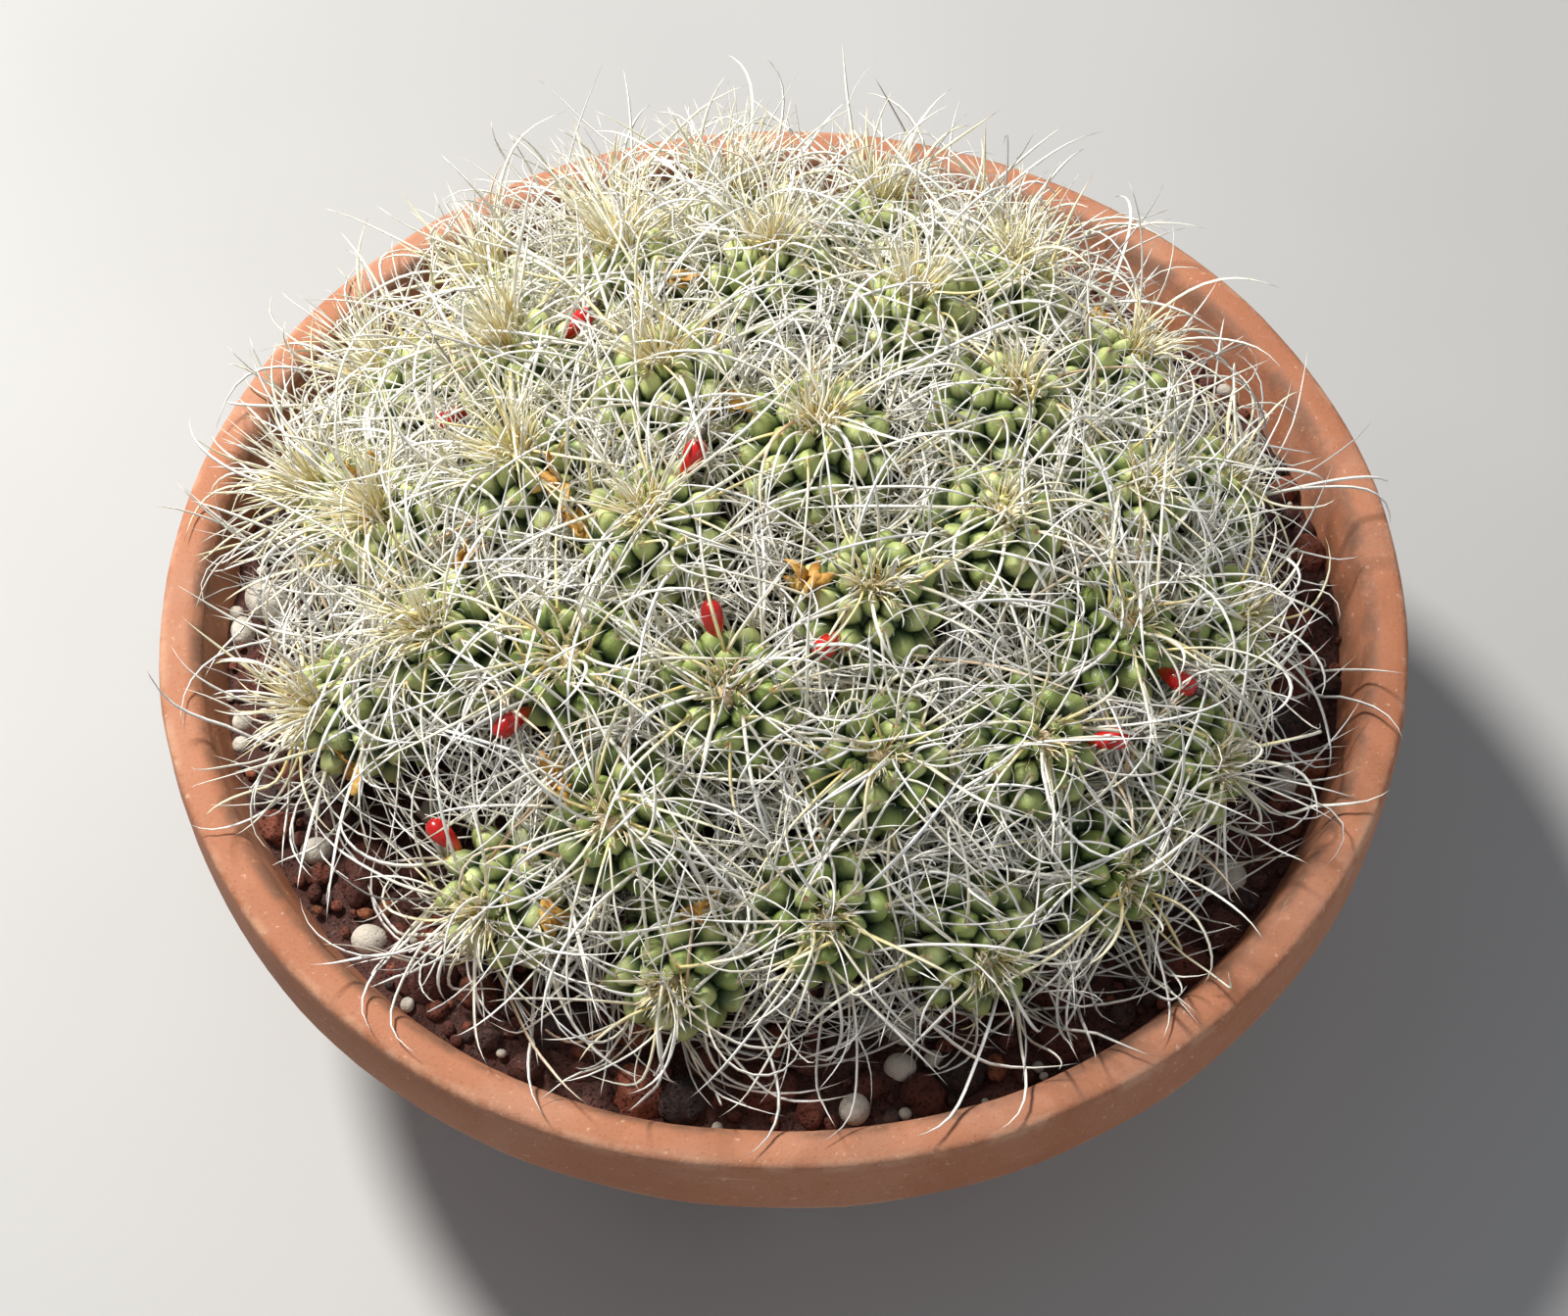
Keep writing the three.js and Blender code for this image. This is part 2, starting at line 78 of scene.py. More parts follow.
NECK_RADIUS = 21
HEAD_CLEARANCE = 0.3
TUBERCLES_ROUND = 8
TUBERCLE_HEIGHT = 4.5
APEX_DIP = 2.5
SPIRAL_TWIST = 0.1
CAP_ANGLES = [12, 34, 56, 78]
LOWER_DEPTHS = [WIDEST_DEPTH + 5, WIDEST_DEPTH + 13, NECK_DEPTH]

# Berries, as in the CAD: [head, degrees round it, row of hollows]
FRUIT_LENGTH = 13.5
FRUIT_RADIUS = 3.3
FRUIT_LIFT = 1.25
FRUITS = [
    [3, 61, 2], [10, -144, 3], [4, -126, 2], [16, -36, 2], [19, 9, 2],
    [22, -144, 3], [30, 126, 3], [10, 9, 2], [21, 99, 2],
]

# Tubercles of the dressed heads
GOLDEN_ANGLE = math.radians(137.508)
BUMP_HEIGHT = 7.6
YOUNG_AREA = 13
FULL_AREA = 78
FULL_AREA_FROM = 18
STEM_RADIUS = 10
BRUSH_RADIUS = 4.8

# Spines
TONES = 16
FURTHEST_SPINE = 206.5
HIGHEST_SPINE = 266
SHORTENINGS = 6


def unit(v):
    """The vectors made one long."""
    v = np.asarray(v, float)
    return v / np.maximum(np.linalg.norm(v, axis=-1, keepdims=True), 1e-9)


def dot(a, b):
    return (a * b).sum(-1)


def at_right_angles(v, along):
    """Unit vectors of the parts of v at right angles to the unit vectors along."""
    return unit(v - dot(v, along)[:, None] * along)


def smooth_step(x, low, high):
    t = np.clip((x - low) / (high - low), 0, 1)
    return t * t * (3 - 2 * t)


def lumps(points, size, seed, octaves=3):
    """A smooth wandering value for each point, about -1 to 1, with lumps of about this size."""
    random = np.random.default_rng(seed)
    total = np.zeros(points.shape[:-1])
    for octave in range(octaves):
        waves = unit(random.normal(size=(7, 3))) * (2 * math.pi / size) * 1.9 ** octave
        phases = random.uniform(0, 2 * math.pi, 7)
        total += np.sin(points @ waves.T + phases).sum(-1) / 3.5 * 0.55 ** octave
    return total


def round_turn(sides):
    """The angles of this many even steps round a circle."""
    return np.arange(sides) * 2 * math.pi / sides


def circle(angles):
    """Unit points across the axis at these angles."""
    return np.stack([np.cos(angles), np.sin(angles), 0 * angles], -1)


def tube(rows, sides, closed=False):
    """The four-sided faces that join rows of points, with this many to a row, and each one's row and side."""
    i, j = np.meshgrid(np.arange(rows if closed else rows - 1), np.arange(sides), indexing="ij")
    i2, j2 = (i + 1) % rows, (j + 1) % sides
    quads = np.stack([i * sides + j, i * sides + j2, i2 * sides + j2, i2 * sides + j], -1)
    return quads.reshape(-1, 4), i, j


def inside_out(quads):
    return quads[:, [0, 3, 2, 1]]


def fan(first, sides, point, flip=False):
    """The three-sided faces from a row of points, the first of them given, to a single point."""
    j = np.arange(sides)
    a, b = first + j, first + (j + 1) % sides
    if flip:
        a, b = b, a
    return np.stack([a, b, np.full(sides, point)], 1)


# Meshes are gathered as chunks of points, four-sided and three-sided faces, and joined
def chunk(points, quads, tris, quad_uv=None, tri_uv=None, tint=None):
    """One chunk, with zeros for a map or a tint that isn't given."""
    points = np.asarray(points, float).reshape(-1, 3)
    quads = np.asarray(quads, int).reshape(-1, 4)
    tris = np.asarray(tris, int).reshape(-1, 3)

    def filled(values, *shape):
        return np.zeros(shape) if values is None else np.asarray(values, float).reshape(shape)

    return {
        "points": points, "quads": quads, "tris": tris, "quad_uv": filled(quad_uv, len(quads), 4, 2),
        "tri_uv": filled(tri_uv, len(tris), 3, 2), "tint": filled(tint, len(points), 4),
    }


def join(chunks):
    """One chunk of several."""
    starts = np.cumsum([0] + [len(c["points"]) for c in chunks])
    joined = {key: np.concatenate([c[key] for c in chunks]) for key in ("points", "quad_uv", "tri_uv", "tint")}
    joined["quads"] = np.concatenate([c["quads"] + s for c, s in zip(chunks, starts)])
    joined["tris"] = np.concatenate([c["tris"] + s for c, s in zip(chunks, starts)])
    return joined


def make_piece(name, data, material, nodes, uv_names=(), tint_name=None, smooth=True):
    """A mesh object in metres that rides on the part and stands for these CAD nodes."""
    quads, tris = data["quads"], data["tris"]
    mesh = bpy.data.meshes.new(name)
    mesh.vertices.add(len(data["points"]))
    mesh.vertices.foreach_set("co", (data["points"] * MM).astype(np.float32).ravel())
    corners = np.concatenate([quads.ravel(), tris.ravel()]).astype(np.int32)
    mesh.loops.add(len(corners))
    mesh.loops.foreach_set("vertex_index", corners)
    mesh.polygons.add(len(quads) + len(tris))
    starts = np.concatenate([np.arange(len(quads)) * 4, len(quads) * 4 + np.arange(len(tris)) * 3])
    mesh.polygons.foreach_set("loop_start", starts.astype(np.int32))
    mesh.update(calc_edges=True)
    mesh.validate()
    for uv_name in uv_names:
        layer = mesh.uv_layers.new(name=uv_name)
        uv = np.concatenate([data["quad_uv"].reshape(-1, 2), data["tri_uv"].reshape(-1, 2)])
        layer.data.foreach_set("uv", uv.astype(np.float32).ravel())
    if tint_name:
        tints = mesh.attributes.new(tint_name, "FLOAT_COLOR", "POINT")
        tints.data.foreach_set("color", data["tint"].astype(np.float32).ravel())
    mesh.polygons.foreach_set("use_smooth", np.full(len(mesh.polygons), smooth))
    mesh.materials.append(material)
    piece = bpy.data.objects.new(name, mesh)
    bpy.context.scene.collection.objects.link(piece)
    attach(piece, "root")
    if nodes:
        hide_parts(*nodes)
    return piece


class Shader:
    """One procedural material: a Principled shader, and short calls for the nodes that feed it."""

    def __init__(self, name, **constants):
        self.material = bpy.data.materials.new(name)
        self.material.use_nodes = True
        self.tree = self.material.node_tree
        self.tree.nodes.clear()
        self.main = self.tree.nodes.new("ShaderNodeBsdfPrincipled")
        output = self.tree.nodes.new("ShaderNodeOutputMaterial")
        self.tree.links.new(self.main.outputs[0], output.inputs[0])
        for key, value in constants.items():
            self.put(self.main.inputs[key.replace("_", " ")], value)

    def put(self, socket, value):
        if isinstance(value, bpy.types.NodeSocket):
            self.tree.links.new(value, socket)
        elif isinstance(value, tuple) and len(value) == 3 and socket.type == "RGBA":
            socket.default_value = (*value, 1)
        else:
            socket.default_value = value

    def new(self, kind, inputs=(), **settings):
        node = self.tree.nodes.new("ShaderNode" + kind)
        for key, value in settings.items():
            setattr(node, key, value)
        for key, value in dict(inputs).items():
            self.put(node.inputs[key], value)
        return node

    def place(self):
        return self.new("TexCoord").outputs["Object"]

    def attribute(self, name):
        node = self.new("Attribute", attribute_name=name)
        parts = self.new("SeparateColor", {0: node.outputs["Color"]})
        return [*parts.outputs[:3], node.outputs["Alpha"]]

    def uv(self, name):
        node = self.new("UVMap", uv_map=name)
        parts = self.new("SeparateXYZ", {0: node.outputs[0]})
        return parts.outputs[:2]

    def join_xyz(self, x, y, z=0.0):
        return self.new("CombineXYZ", {0: x, 1: y, 2: z}).outputs[0]

    def stretch(self, vector, scale):
        return self.new("Mapping", {"Vector": vector, "Scale": scale}).outputs[0]

    def noise(self, vector, scale, detail=3.0, roughness=0.55, distortion=0.0):
        return self.new("TexNoise", {
            "Vector": vector, "Scale": scale, "Detail": detail,
            "Roughness": roughness, "Distortion": distortion,
        }).outputs[0]

    def cells(self, vector, scale):
        return self.new("TexVoronoi", {"Vector": vector, "Scale": scale}).outputs["Distance"]

    def math(self, operation, a, b=0.0):
        return self.new("Math", {0: a, 1: b}, operation=operation).outputs[0]

    def times(self, a, b):
        return self.math("MULTIPLY", a, b)

    def spread(self, value, low, high, to_low=0.0, to_high=1.0):
        return self.new("MapRange", {
            "Value": value, "From Min": low, "From Max": high, "To Min": to_low, "To Max": to_high,
        }, interpolation_type="SMOOTHSTEP").outputs[0]

    def ramp(self, value, stops, interpolation="LINEAR"):
        node = self.new("ValToRGB", {0: value})
        node.color_ramp.interpolation = interpolation
        elements = node.color_ramp.elements
        while len(elements) < len(stops):
            elements.new(0.5)
        for element, (position, color) in zip(elements, stops):
            element.position = position
            element.color = (*color, 1)
        return node.outputs[0]

    def mix(self, share, a, b):
        return self.new("Mix", {0: share, 6: a, 7: b}, data_type="RGBA").outputs[2]

    def over(self, base, value, low, high, color, share=1.0):
        """The base with a color laid over it, from none to this share as the value goes from low to high."""
        return self.mix(self.spread(value, low, high, 0, share), base, color)

    def bump(self, height, distance, normal=None, strength=1.0):
        inputs = {"Height": height, "Distance": distance, "Strength": strength}
        if normal is not None:
            inputs["Normal"] = normal
        return self.new("Bump", inputs).outputs[0]

    def finish(self, color, roughness, normal):
        self.put(self.main.inputs["Base Color"], color)
        self.put(self.main.inputs["Roughness"], roughness)
        self.put(self.main.inputs["Normal"], normal)
        return self.material


def terracotta():
    s = Shader("terracotta", Specular_IOR_Level=0.3)
    place = s.place()
    height = s.new("SeparateXYZ", {0: place}).outputs[2]
    clay = s.ramp(s.noise(place, 9, 5, 0.6), [
        (0.25, (0.29, 0.105, 0.052)), (0.5, (0.39, 0.155, 0.080)), (0.78, (0.47, 0.215, 0.122)),
    ])
    grain = s.noise(place, 900, 2)
    clay = s.over(clay, grain, 0.55, 0.75, (0.22, 0.07, 0.035), 0.45)
    clay = s.over(clay, s.noise(place, 420, 2), 0.64, 0.75, (0.62, 0.40, 0.27), 0.6)
    patches = s.noise(place, 16, 6, 0.68, 0.6)
    # White mineral bloom creeps up from the foot and gathers under the rim band
    foot = s.spread(height, 0.0, 0.055, 1, 0)
    under_rim = s.times(s.spread(height, 0.085, 0.113), s.spread(height, 0.118, 0.124, 1, 0))
    near = s.math("MAXIMUM", s.times(foot, 0.9), s.times(under_rim, 0.55))
    bloom = s.times(s.spread(patches, 0.42, 0.62), s.math("ADD", near, 0.10))
    clay = s.mix(bloom, clay, (0.66, 0.56, 0.48))
    damp = s.times(s.spread(s.noise(place, 7, 4, 0.6), 0.5, 0.66), s.spread(height, 0.02, 0.11, 0.42, 0.1))
    clay = s.mix(damp, clay, (0.21, 0.075, 0.04))
    # The rim's edges are worn pale, and the inside of its lip is dark with soil
    across = s.new("VectorMath", {0: s.stretch(place, (1, 1, 0))}, operation="LENGTH").outputs["Value"]
    edge = s.times(s.spread(across, 0.1955, 0.1992), s.spread(height, 0.1445, 0.1492))
    step = s.times(s.spread(across, 0.1972, 0.1990), s.spread(height, 0.1245, 0.1205))
    scraped = s.spread(s.noise(place, 55, 4, 0.7), 0.42, 0.62, 0, 0.75)
    clay = s.mix(s.times(s.math("MAXIMUM", edge, step), scraped), clay, (0.58, 0.33, 0.21))
    lip = s.times(s.spread(height, 0.138, 0.150), s.spread(across, 0.1915, 0.1875))
    soiled = s.spread(s.noise(place, 70, 5, 0.7), 0.38, 0.60, 0.15, 0.8)
    clay = s.mix(s.times(lip, soiled), clay, (0.16, 0.085, 0.055))
    scuffs = s.noise(s.stretch(place, (30, 30, 240)), 1.0, 4, 0.7, 1.2)
    clay = s.over(clay, scuffs, 0.66, 0.74, (0.60, 0.38, 0.27), 0.4)
    rings = s.noise(s.stretch(place, (3, 3, 260)), 1.0, 2)
    normal = s.bump(rings, 0.0005, strength=0.5)
    normal = s.bump(grain, 0.00025, normal, 0.6)
    return s.finish(clay, s.spread(patches, 0.3, 0.7, 0.68, 0.9), normal)


def lava_stone():
    """Tint: red = which rock, green = shade, blue = a pale pebble."""
    s = Shader("lava_stone", Specular_IOR_Level=0.35)
    place = s.place()
    kind, shade, pale, _ = s.attribute("rock")
    rock = s.ramp(kind, [
        (0.0, (0.052, 0.043, 0.044)), (0.22, (0.085, 0.050, 0.045)), (0.42, (0.165, 0.053, 0.040)),
        (0.62, (0.26, 0.074, 0.046)), (0.82, (0.36, 0.105, 0.055)), (1.0, (0.48, 0.180, 0.072)),
    ])
    rock = s.over(rock, s.noise(place, 160, 4, 0.7), 0.42, 0.7, (0.20, 0.075, 0.05), 0.55)
    rock = s.over(rock, s.noise(place, 520, 3), 0.6, 0.74, (0.34, 0.25, 0.21), 0.5)
    pebble = s.mix(s.noise(place, 240, 4), (0.46, 0.40, 0.31), (0.80, 0.76, 0.68))
    rock = s.over(rock, pale, 0.4, 0.6, pebble)
    pits = s.spread(s.cells(place, 620), 0.08, 0.42)
    rough_stone = s.math("SUBTRACT", 1.0, s.spread(pale, 0.4, 0.6, 0, 0.85))
    # Painted shade: the pores, which the bump sinks, are painted near black as painted shade in their hollows
    depth = s.times(s.math("SUBTRACT", 1.0, pits), rough_stone)
    rock = s.mix(s.times(depth, 0.55), rock, (0.012, 0.007, 0.007))
    rock = s.mix(s.spread(shade, 0, 1, 0.4, 0.0), rock, (0.02, 0.012, 0.01))
    crumb_relief = s.noise(place, 330, 5, 0.75)
    # Painted shade: the low parts of the crumbly relief are painted near black, as painted shade in its hollows
    rock = s.mix(s.times(s.spread(crumb_relief, 0.46, 0.34), s.times(rough_stone, 0.55)), rock, (0.012, 0.008, 0.008))
    normal = s.bump(s.times(crumb_relief, rough_stone), 0.0030, strength=1.0)
    normal = s.bump(s.times(pits, rough_stone), 0.0010, normal, 0.9)
    normal = s.bump(s.noise(place, 1300, 3), 0.0004, normal, 0.7)
    return s.finish(rock, s.spread(s.noise(place, 90, 2), 0.3, 0.7, 0.72, 0.95), normal)


def cactus_skin():
    """Tint: red = 0 at a tubercle's foot to 1 at its tip, green = chance mixed with the head's painted light
    and shade, blue = age, alpha = wool.
    """
    s = Shader("cactus_skin", Specular_IOR_Level=0.42)
    place = s.place()
    rise, chance, age, wool = s.attribute("growth")
    round_it, _ = s.uv("Round")
    # Painted shade and light: low is near black, painted shade in the grooves at each tubercle's foot, reaching
    # further up the lower, older tubercles; high is the tips' own pale green made brighter as painted light
    low = s.mix(chance, (0.026, 0.050, 0.026), (0.065, 0.110, 0.036))
    high = s.mix(s.spread(chance, 0.1, 0.9), (0.27, 0.35, 0.092), (0.66, 0.71, 0.31))
    skin = s.mix(s.spread(s.math("SUBTRACT", rise, s.times(age, 0.35)), 0.0, 0.72), low, high)
    blotch = s.noise(place, 230, 4, 0.6)
    skin = s.over(skin, blotch, 0.45, 0.72, (0.19, 0.27, 0.080), 0.4)
    ridges = s.noise(s.join_xyz(s.times(round_it, 17.0), s.times(rise, 2.2), s.times(chance, 9.0)), 1.0, 3)
    stripe = s.times(s.spread(ridges, 0.55, 0.70), s.spread(rise, 0.75, 0.30, 0.0, 0.50))
    skin = s.mix(stripe, skin, (0.026, 0.056, 0.022))
    pale = s.times(s.spread(ridges, 0.44, 0.34), s.spread(rise, 0.3, 0.8, 0.0, 0.35))
    skin = s.mix(pale, skin, (0.50, 0.58, 0.24))
    dots = s.cells(place, 1900)
    skin = s.over(skin, dots, 0.22, 0.10, (0.56, 0.62, 0.33), 0.25)
    cork = s.mix(s.noise(place, 150, 5, 0.65), (0.10, 0.075, 0.045), (0.27, 0.22, 0.15))
    skin = s.over(skin, age, 0.80, 1.0, cork)
    tuft = s.noise(place, 700, 4, 0.7)
    areole = s.ramp(tuft, [(0.30, (0.34, 0.22, 0.08)), (0.50, (0.62, 0.48, 0.22)), (0.70, (0.84, 0.76, 0.50))])
    areole = s.over(areole, s.noise(place, 60, 1), 0.64, 0.68, (0.44, 0.17, 0.04), 0.75)
    cushion = s.ramp(tuft, [(0.30, (0.50, 0.33, 0.17)), (0.50, (0.76, 0.60, 0.36)), (0.70, (0.90, 0.80, 0.58))])
    fluff = s.mix(s.spread(age, 0.0, 0.03), cushion, areole)
    skin = s.over(skin, wool, 0.3, 0.7, fluff)
    normal = s.bump(ridges, 0.0006, strength=0.55)
    normal = s.bump(s.noise(place, 900, 3), 0.00018, normal, 0.5)
    return s.finish(skin, s.spread(blotch, 0.3, 0.7, 0.30, 0.50), normal)


def spine_material():
    """Map Strand: across it one band for each tone, along it the spine from root to tip."""
    s = Shader("spine", Specular_IOR_Level=0.45)
    across, along = s.uv("Strand")
    band = s.math("DIVIDE", s.math("ADD", s.math("FLOOR", s.times(across, float(TONES))), 0.5), float(TONES))
    tones = [
        (0.92, 0.90, 0.85), (0.90, 0.89, 0.85), (0.94, 0.93, 0.88), (0.86, 0.84, 0.79), (0.92, 0.90, 0.83),
        (0.93, 0.90, 0.81), (0.82, 0.81, 0.78), (0.90, 0.88, 0.82), (0.66, 0.65, 0.63), (0.52, 0.51, 0.49),
        (0.94, 0.91, 0.76), (0.94, 0.88, 0.62), (0.90, 0.80, 0.49), (0.78, 0.64, 0.48), (0.38, 0.36, 0.34),
        (0.88, 0.87, 0.84),
    ]
    roots = [
        (0.88, 0.83, 0.68), (0.86, 0.83, 0.72), (0.90, 0.87, 0.74), (0.78, 0.73, 0.60), (0.88, 0.83, 0.64),
        (0.89, 0.82, 0.60), (0.74, 0.71, 0.62), (0.78, 0.72, 0.55), (0.56, 0.54, 0.48), (0.42, 0.40, 0.36),
        (0.92, 0.79, 0.38), (0.90, 0.73, 0.29), (0.82, 0.60, 0.22), (0.58, 0.38, 0.20), (0.28, 0.25, 0.22),
        (0.86, 0.85, 0.81),
    ]
    stop = [k / TONES for k in range(TONES)]
    far = s.ramp(band, list(zip(stop, tones)), "CONSTANT")
    color = s.mix(s.spread(along, 0.05, 0.55), s.ramp(band, list(zip(stop, roots)), "CONSTANT"), far)
    specks = s.noise(s.join_xyz(s.times(across, 60.0), s.times(along, 75.0), 0.0), 1.0, 3, 0.6)
    color = s.over(color, specks, 0.57, 0.69, (0.33, 0.29, 0.24), 0.5)
    patches = s.noise(s.join_xyz(s.times(across, 40.0), s.times(along, 5.0), 3.0), 1.0, 2)
    color = s.over(color, patches, 0.5, 0.72, (0.64, 0.56, 0.40), 0.25)
    color = s.over(color, along, 0.05, 0.0, (0.60, 0.42, 0.17), 0.5)
    tipped = s.spread(s.noise(s.join_xyz(s.times(band, 37.0), 0.0, 0.0), 1.0, 0), 0.52, 0.58)
    color = s.mix(s.times(s.spread(along, 0.84, 0.98), s.times(tipped, 0.8)), color, (0.33, 0.13, 0.05))
    return s.finish(color, 0.5, s.bump(specks, 0.0002, strength=0.5))


def berry_material():
    """Tint: red = 0 at the foot to 1 at the tip, alpha = the dried remains of the flower."""
    s = Shader("berry", Coat_Weight=0.35, Coat_Roughness=0.12)
    place = s.place()
    rise, _, _, dry = s.attribute("growth")
    skin = s.mix(s.spread(rise, 0.0, 0.35), (0.55, 0.12, 0.03), (0.58, 0.012, 0.010))
    skin = s.over(skin, s.noise(place, 260, 3), 0.45, 0.7, (0.34, 0.006, 0.008), 0.5)
    husk = s.mix(s.noise(place, 900, 3), (0.016, 0.010, 0.008), (0.09, 0.05, 0.03))
    skin = s.over(skin, dry, 0.3, 0.7, husk)
    roughness = s.spread(dry, 0.3, 0.7, 0.24, 0.8)
    return s.finish(skin, roughness, s.bump(s.noise(place, 260, 1), 0.0001, strength=0.25))


def dried_petals():
    s = Shader("dried_petals", Specular_IOR_Level=0.3)
    place = s.place()
    shade = s.noise(place, 190, 4, 0.65)
    petal = s.ramp(shade, [(0.3, (0.30, 0.11, 0.02)), (0.5, (0.62, 0.33, 0.07)), (0.72, (0.82, 0.58, 0.20))])
    veins = s.noise(s.stretch(place, (900, 900, 200)), 1.0, 2)
    petal = s.over(petal, veins, 0.5, 0.7, (0.30, 0.12, 0.03), 0.4)
    return s.finish(petal, s.spread(shade, 0.3, 0.7, 0.55, 0.8), s.bump(veins, 0.0003, strength=0.6))


# The pot: a profile with rounded corners, turned round the axis
def rounded(profile, segments=4):
    """The closed profile with each corner of [radius, height, fillet] rounded."""
    out = []
    count = len(profile)
    for k, (r, z, fillet) in enumerate(profile):
        corner = np.array([r, z], float)
        before = np.array(profile[k - 1][:2], float)
        after = np.array(profile[(k + 1) % count][:2], float)
        if not fillet:
            out.append(corner)
            continue
        a = corner + unit(before - corner) * fillet
        b = corner + unit(after - corner) * fillet
        for t in np.linspace(0, 1, segments + 1):
            out.append((1 - t) ** 2 * a + 2 * t * (1 - t) * corner + t * t * b)
    return out


def divided(points, longest):
    """The closed line of points with no stretch longer than this."""
    out = []
    for k, a in enumerate(points):
        b = points[(k + 1) % len(points)]
        parts = max(1, math.ceil(np.linalg.norm(b - a) / longest))
        out += [a + (b - a) * i / parts for i in range(parts)]
    return np.array(out)


def turned(line, sides):
    """Points and faces of a closed line of [radius, height] turned all the way round the vertical axis."""
    points = line[:, None, :1] * circle(round_turn(sides)) + line[:, None, 1:] * [0, 0, 1]
    return points.reshape(-1, 3), tube(len(line), sides, closed=True)[0]


def outer_radius(z):
    """The pot's radius outside, below its rim band."""
    return POT_FOOT_RADIUS + (RIM_STEP_RADIUS - POT_FOOT_RADIUS) * z / RIM_STEP_Z


def inner_radius(z):
    """The pot's radius inside."""
    low = outer_radius(POT_FLOOR) - POT_WALL
    return low + (LIP_RADIUS - low) * (z - POT_FLOOR) / (POT_HEIGHT - 3 - POT_FLOOR)


def make_pot(material):
    floor_radius = outer_radius(POT_FLOOR) - POT_WALL
    profile = [
        [DRAIN_RADIUS, POT_FLOOR, 1.5], [DRAIN_RADIUS, 0, 1.5], [POT_FOOT_RADIUS, 0, 3],
        [RIM_STEP_RADIUS, RIM_STEP_Z, 2.5], [RIM_RADIUS, 120.5, 2.5], [RIM_RADIUS, POT_HEIGHT, 4.5],
        [LIP_RADIUS, POT_HEIGHT, 4], [floor_radius, POT_FLOOR, 5],
    ]
    points, quads = turned(divided(rounded(profile), POT_STEP), POT_SIDES)
    # Turned by hand on a wheel: faint uneven rings, and not quite round
    reach = np.hypot(points[:, 0], points[:, 1])
    outward = points[:, :2] / reach[:, None]
    around = np.arctan2(points[:, 1], points[:, 0])
    wall = smooth_step(reach, 60, 130) * smooth_step(points[:, 2], 2, 10)
    rings = 0.22 * np.sin(points[:, 2] * 0.55 + 0.7 * np.sin(around * 2)) + 0.12 * np.sin(points[:, 2] * 1.7)
    off = (rings - 0.35 + 0.3 * lumps(points, 90, SEED)) * wall
    off = np.minimum(off, 0.0)
    points[:, :2] += outward * off[:, None]
    return make_piece("terracotta_pot", chunk(points, quads, []), material, ["pot"])


# Heads: where each one stands, as in the CAD
def stand(x, y):
    """The tip and the axis of a head at this place in plan: it leans out as the dome slopes."""
    reach = math.hypot(x, y)
    height = DOME_HEIGHT * math.sqrt(1 - (reach / DOME_RADIUS) ** 2)
    lean = LEAN_SHARE * math.atan2(reach / DOME_RADIUS ** 2, height / DOME_HEIGHT ** 2)
    side = math.sin(lean) / reach
    return np.array([x, y, SOIL_TOP + height]), np.array([x * side, y * side, math.cos(lean)])


def crowd():
    """The heads' places in plan, after those that stand too close push one another apart."""
    turns = [math.radians(azimuth) for _, azimuth in PLACES]
    plan = np.array([[r * math.sin(a), -r * math.cos(a)] for (r, _), a in zip(PLACES, turns)])
    for _ in range(CROWDING_ROUNDS):
        stood = [stand(x, y) for x, y in plan]
        widest = np.array([tip - WIDEST_DEPTH * axis for tip, axis in stood])
        moved = plan.copy()
        for i in range(len(plan)):
            for j in range(len(plan)):
                lack = HEAD_SPACING - np.linalg.norm(widest[i] - widest[j])
                if i != j and lack > 0:
                    moved[i] += unit(plan[i] - plan[j]) * CROWDING_PUSH * lack
        reach = np.linalg.norm(moved, axis=1, keepdims=True)
        plan = moved * np.minimum(1, FURTHEST_TIP / reach)
    return plan


def turn_to(axis):
    """The shortest turn that takes the vertical to this axis."""
    x, y, z = axis
    k = np.array([[0, 0, x], [0, 0, y], [-x, -y, 0]])
    return np.eye(3) + k + k @ k / (1 + z)


STOOD = [stand(x, y) for x, y in crowd()]
TIP = np.array([tip for tip, _ in STOOD])
AXIS = np.array([axis for _, axis in STOOD])
HEADS = len(TIP)
TURN = np.array([turn_to(axis) for axis in AXIS])


def room(depth, most):
    """Each head's radius at this depth: at most this, and half way to its nearest neighbour."""
    centres = TIP - depth * AXIS
    apart = np.linalg.norm(centres[:, None] - centres[None], axis=-1) + 1e6 * np.eye(HEADS)
    return np.minimum(most, apart.min(1) / 2 - HEAD_CLEARANCE)


WIDEST = room(WIDEST_DEPTH, HEAD_RADIUS)
NECK = room(NECK_DEPTH, np.minimum(NECK_RADIUS, WIDEST - 2))


# The heads at the back and left are the most thickly and upright spined, as in the photograph
LUSH_SIDE = np.array([-0.75, 0.75, 0])
LUSH_WIDTH = 230
LUSH = np.clip(0.5 + TIP @ LUSH_SIDE / LUSH_WIDTH, 0, 1)
# Some heads of the front are dull, with next to no brush on top, and their skin is painted darker as painted
# shade
DULL_AND_SHADED = np.isin(np.arange(1, len(PLACES) + 1), [16, 19, 20, 21, 22, 33, 34, 36])
# Each head's skin brightness: painted light on the heads of the back and left, painted shade on the dull heads
# of the front, partly over a real difference in tone
SKIN_LIGHT_AND_SHADE = np.where(DULL_AND_SHADED, 0.10, 0.45 + 0.5 * LUSH)


def flank(k, depth):
    """Radius over the tips of the tubercles on head k's lower half."""
    down = np.clip((depth - WIDEST_DEPTH) / (NECK_DEPTH - WIDEST_DEPTH), 0, 1)
    return WIDEST[k] + (NECK[k] - WIDEST[k]) * down ** 2


def outline(k, depth):
    """Radius over the tips of head k's tubercles, at depths below its tip."""
    depth = np.asarray(depth, float)
    cap = WIDEST[k] * np.sqrt(np.clip(1 - (1 - depth / WIDEST_DEPTH) ** 2, 0, 1))
    return np.where(depth < WIDEST_DEPTH, cap, flank(k, depth))


def to_world(k, points):
    return TIP[k] + points @ TURN[k].T


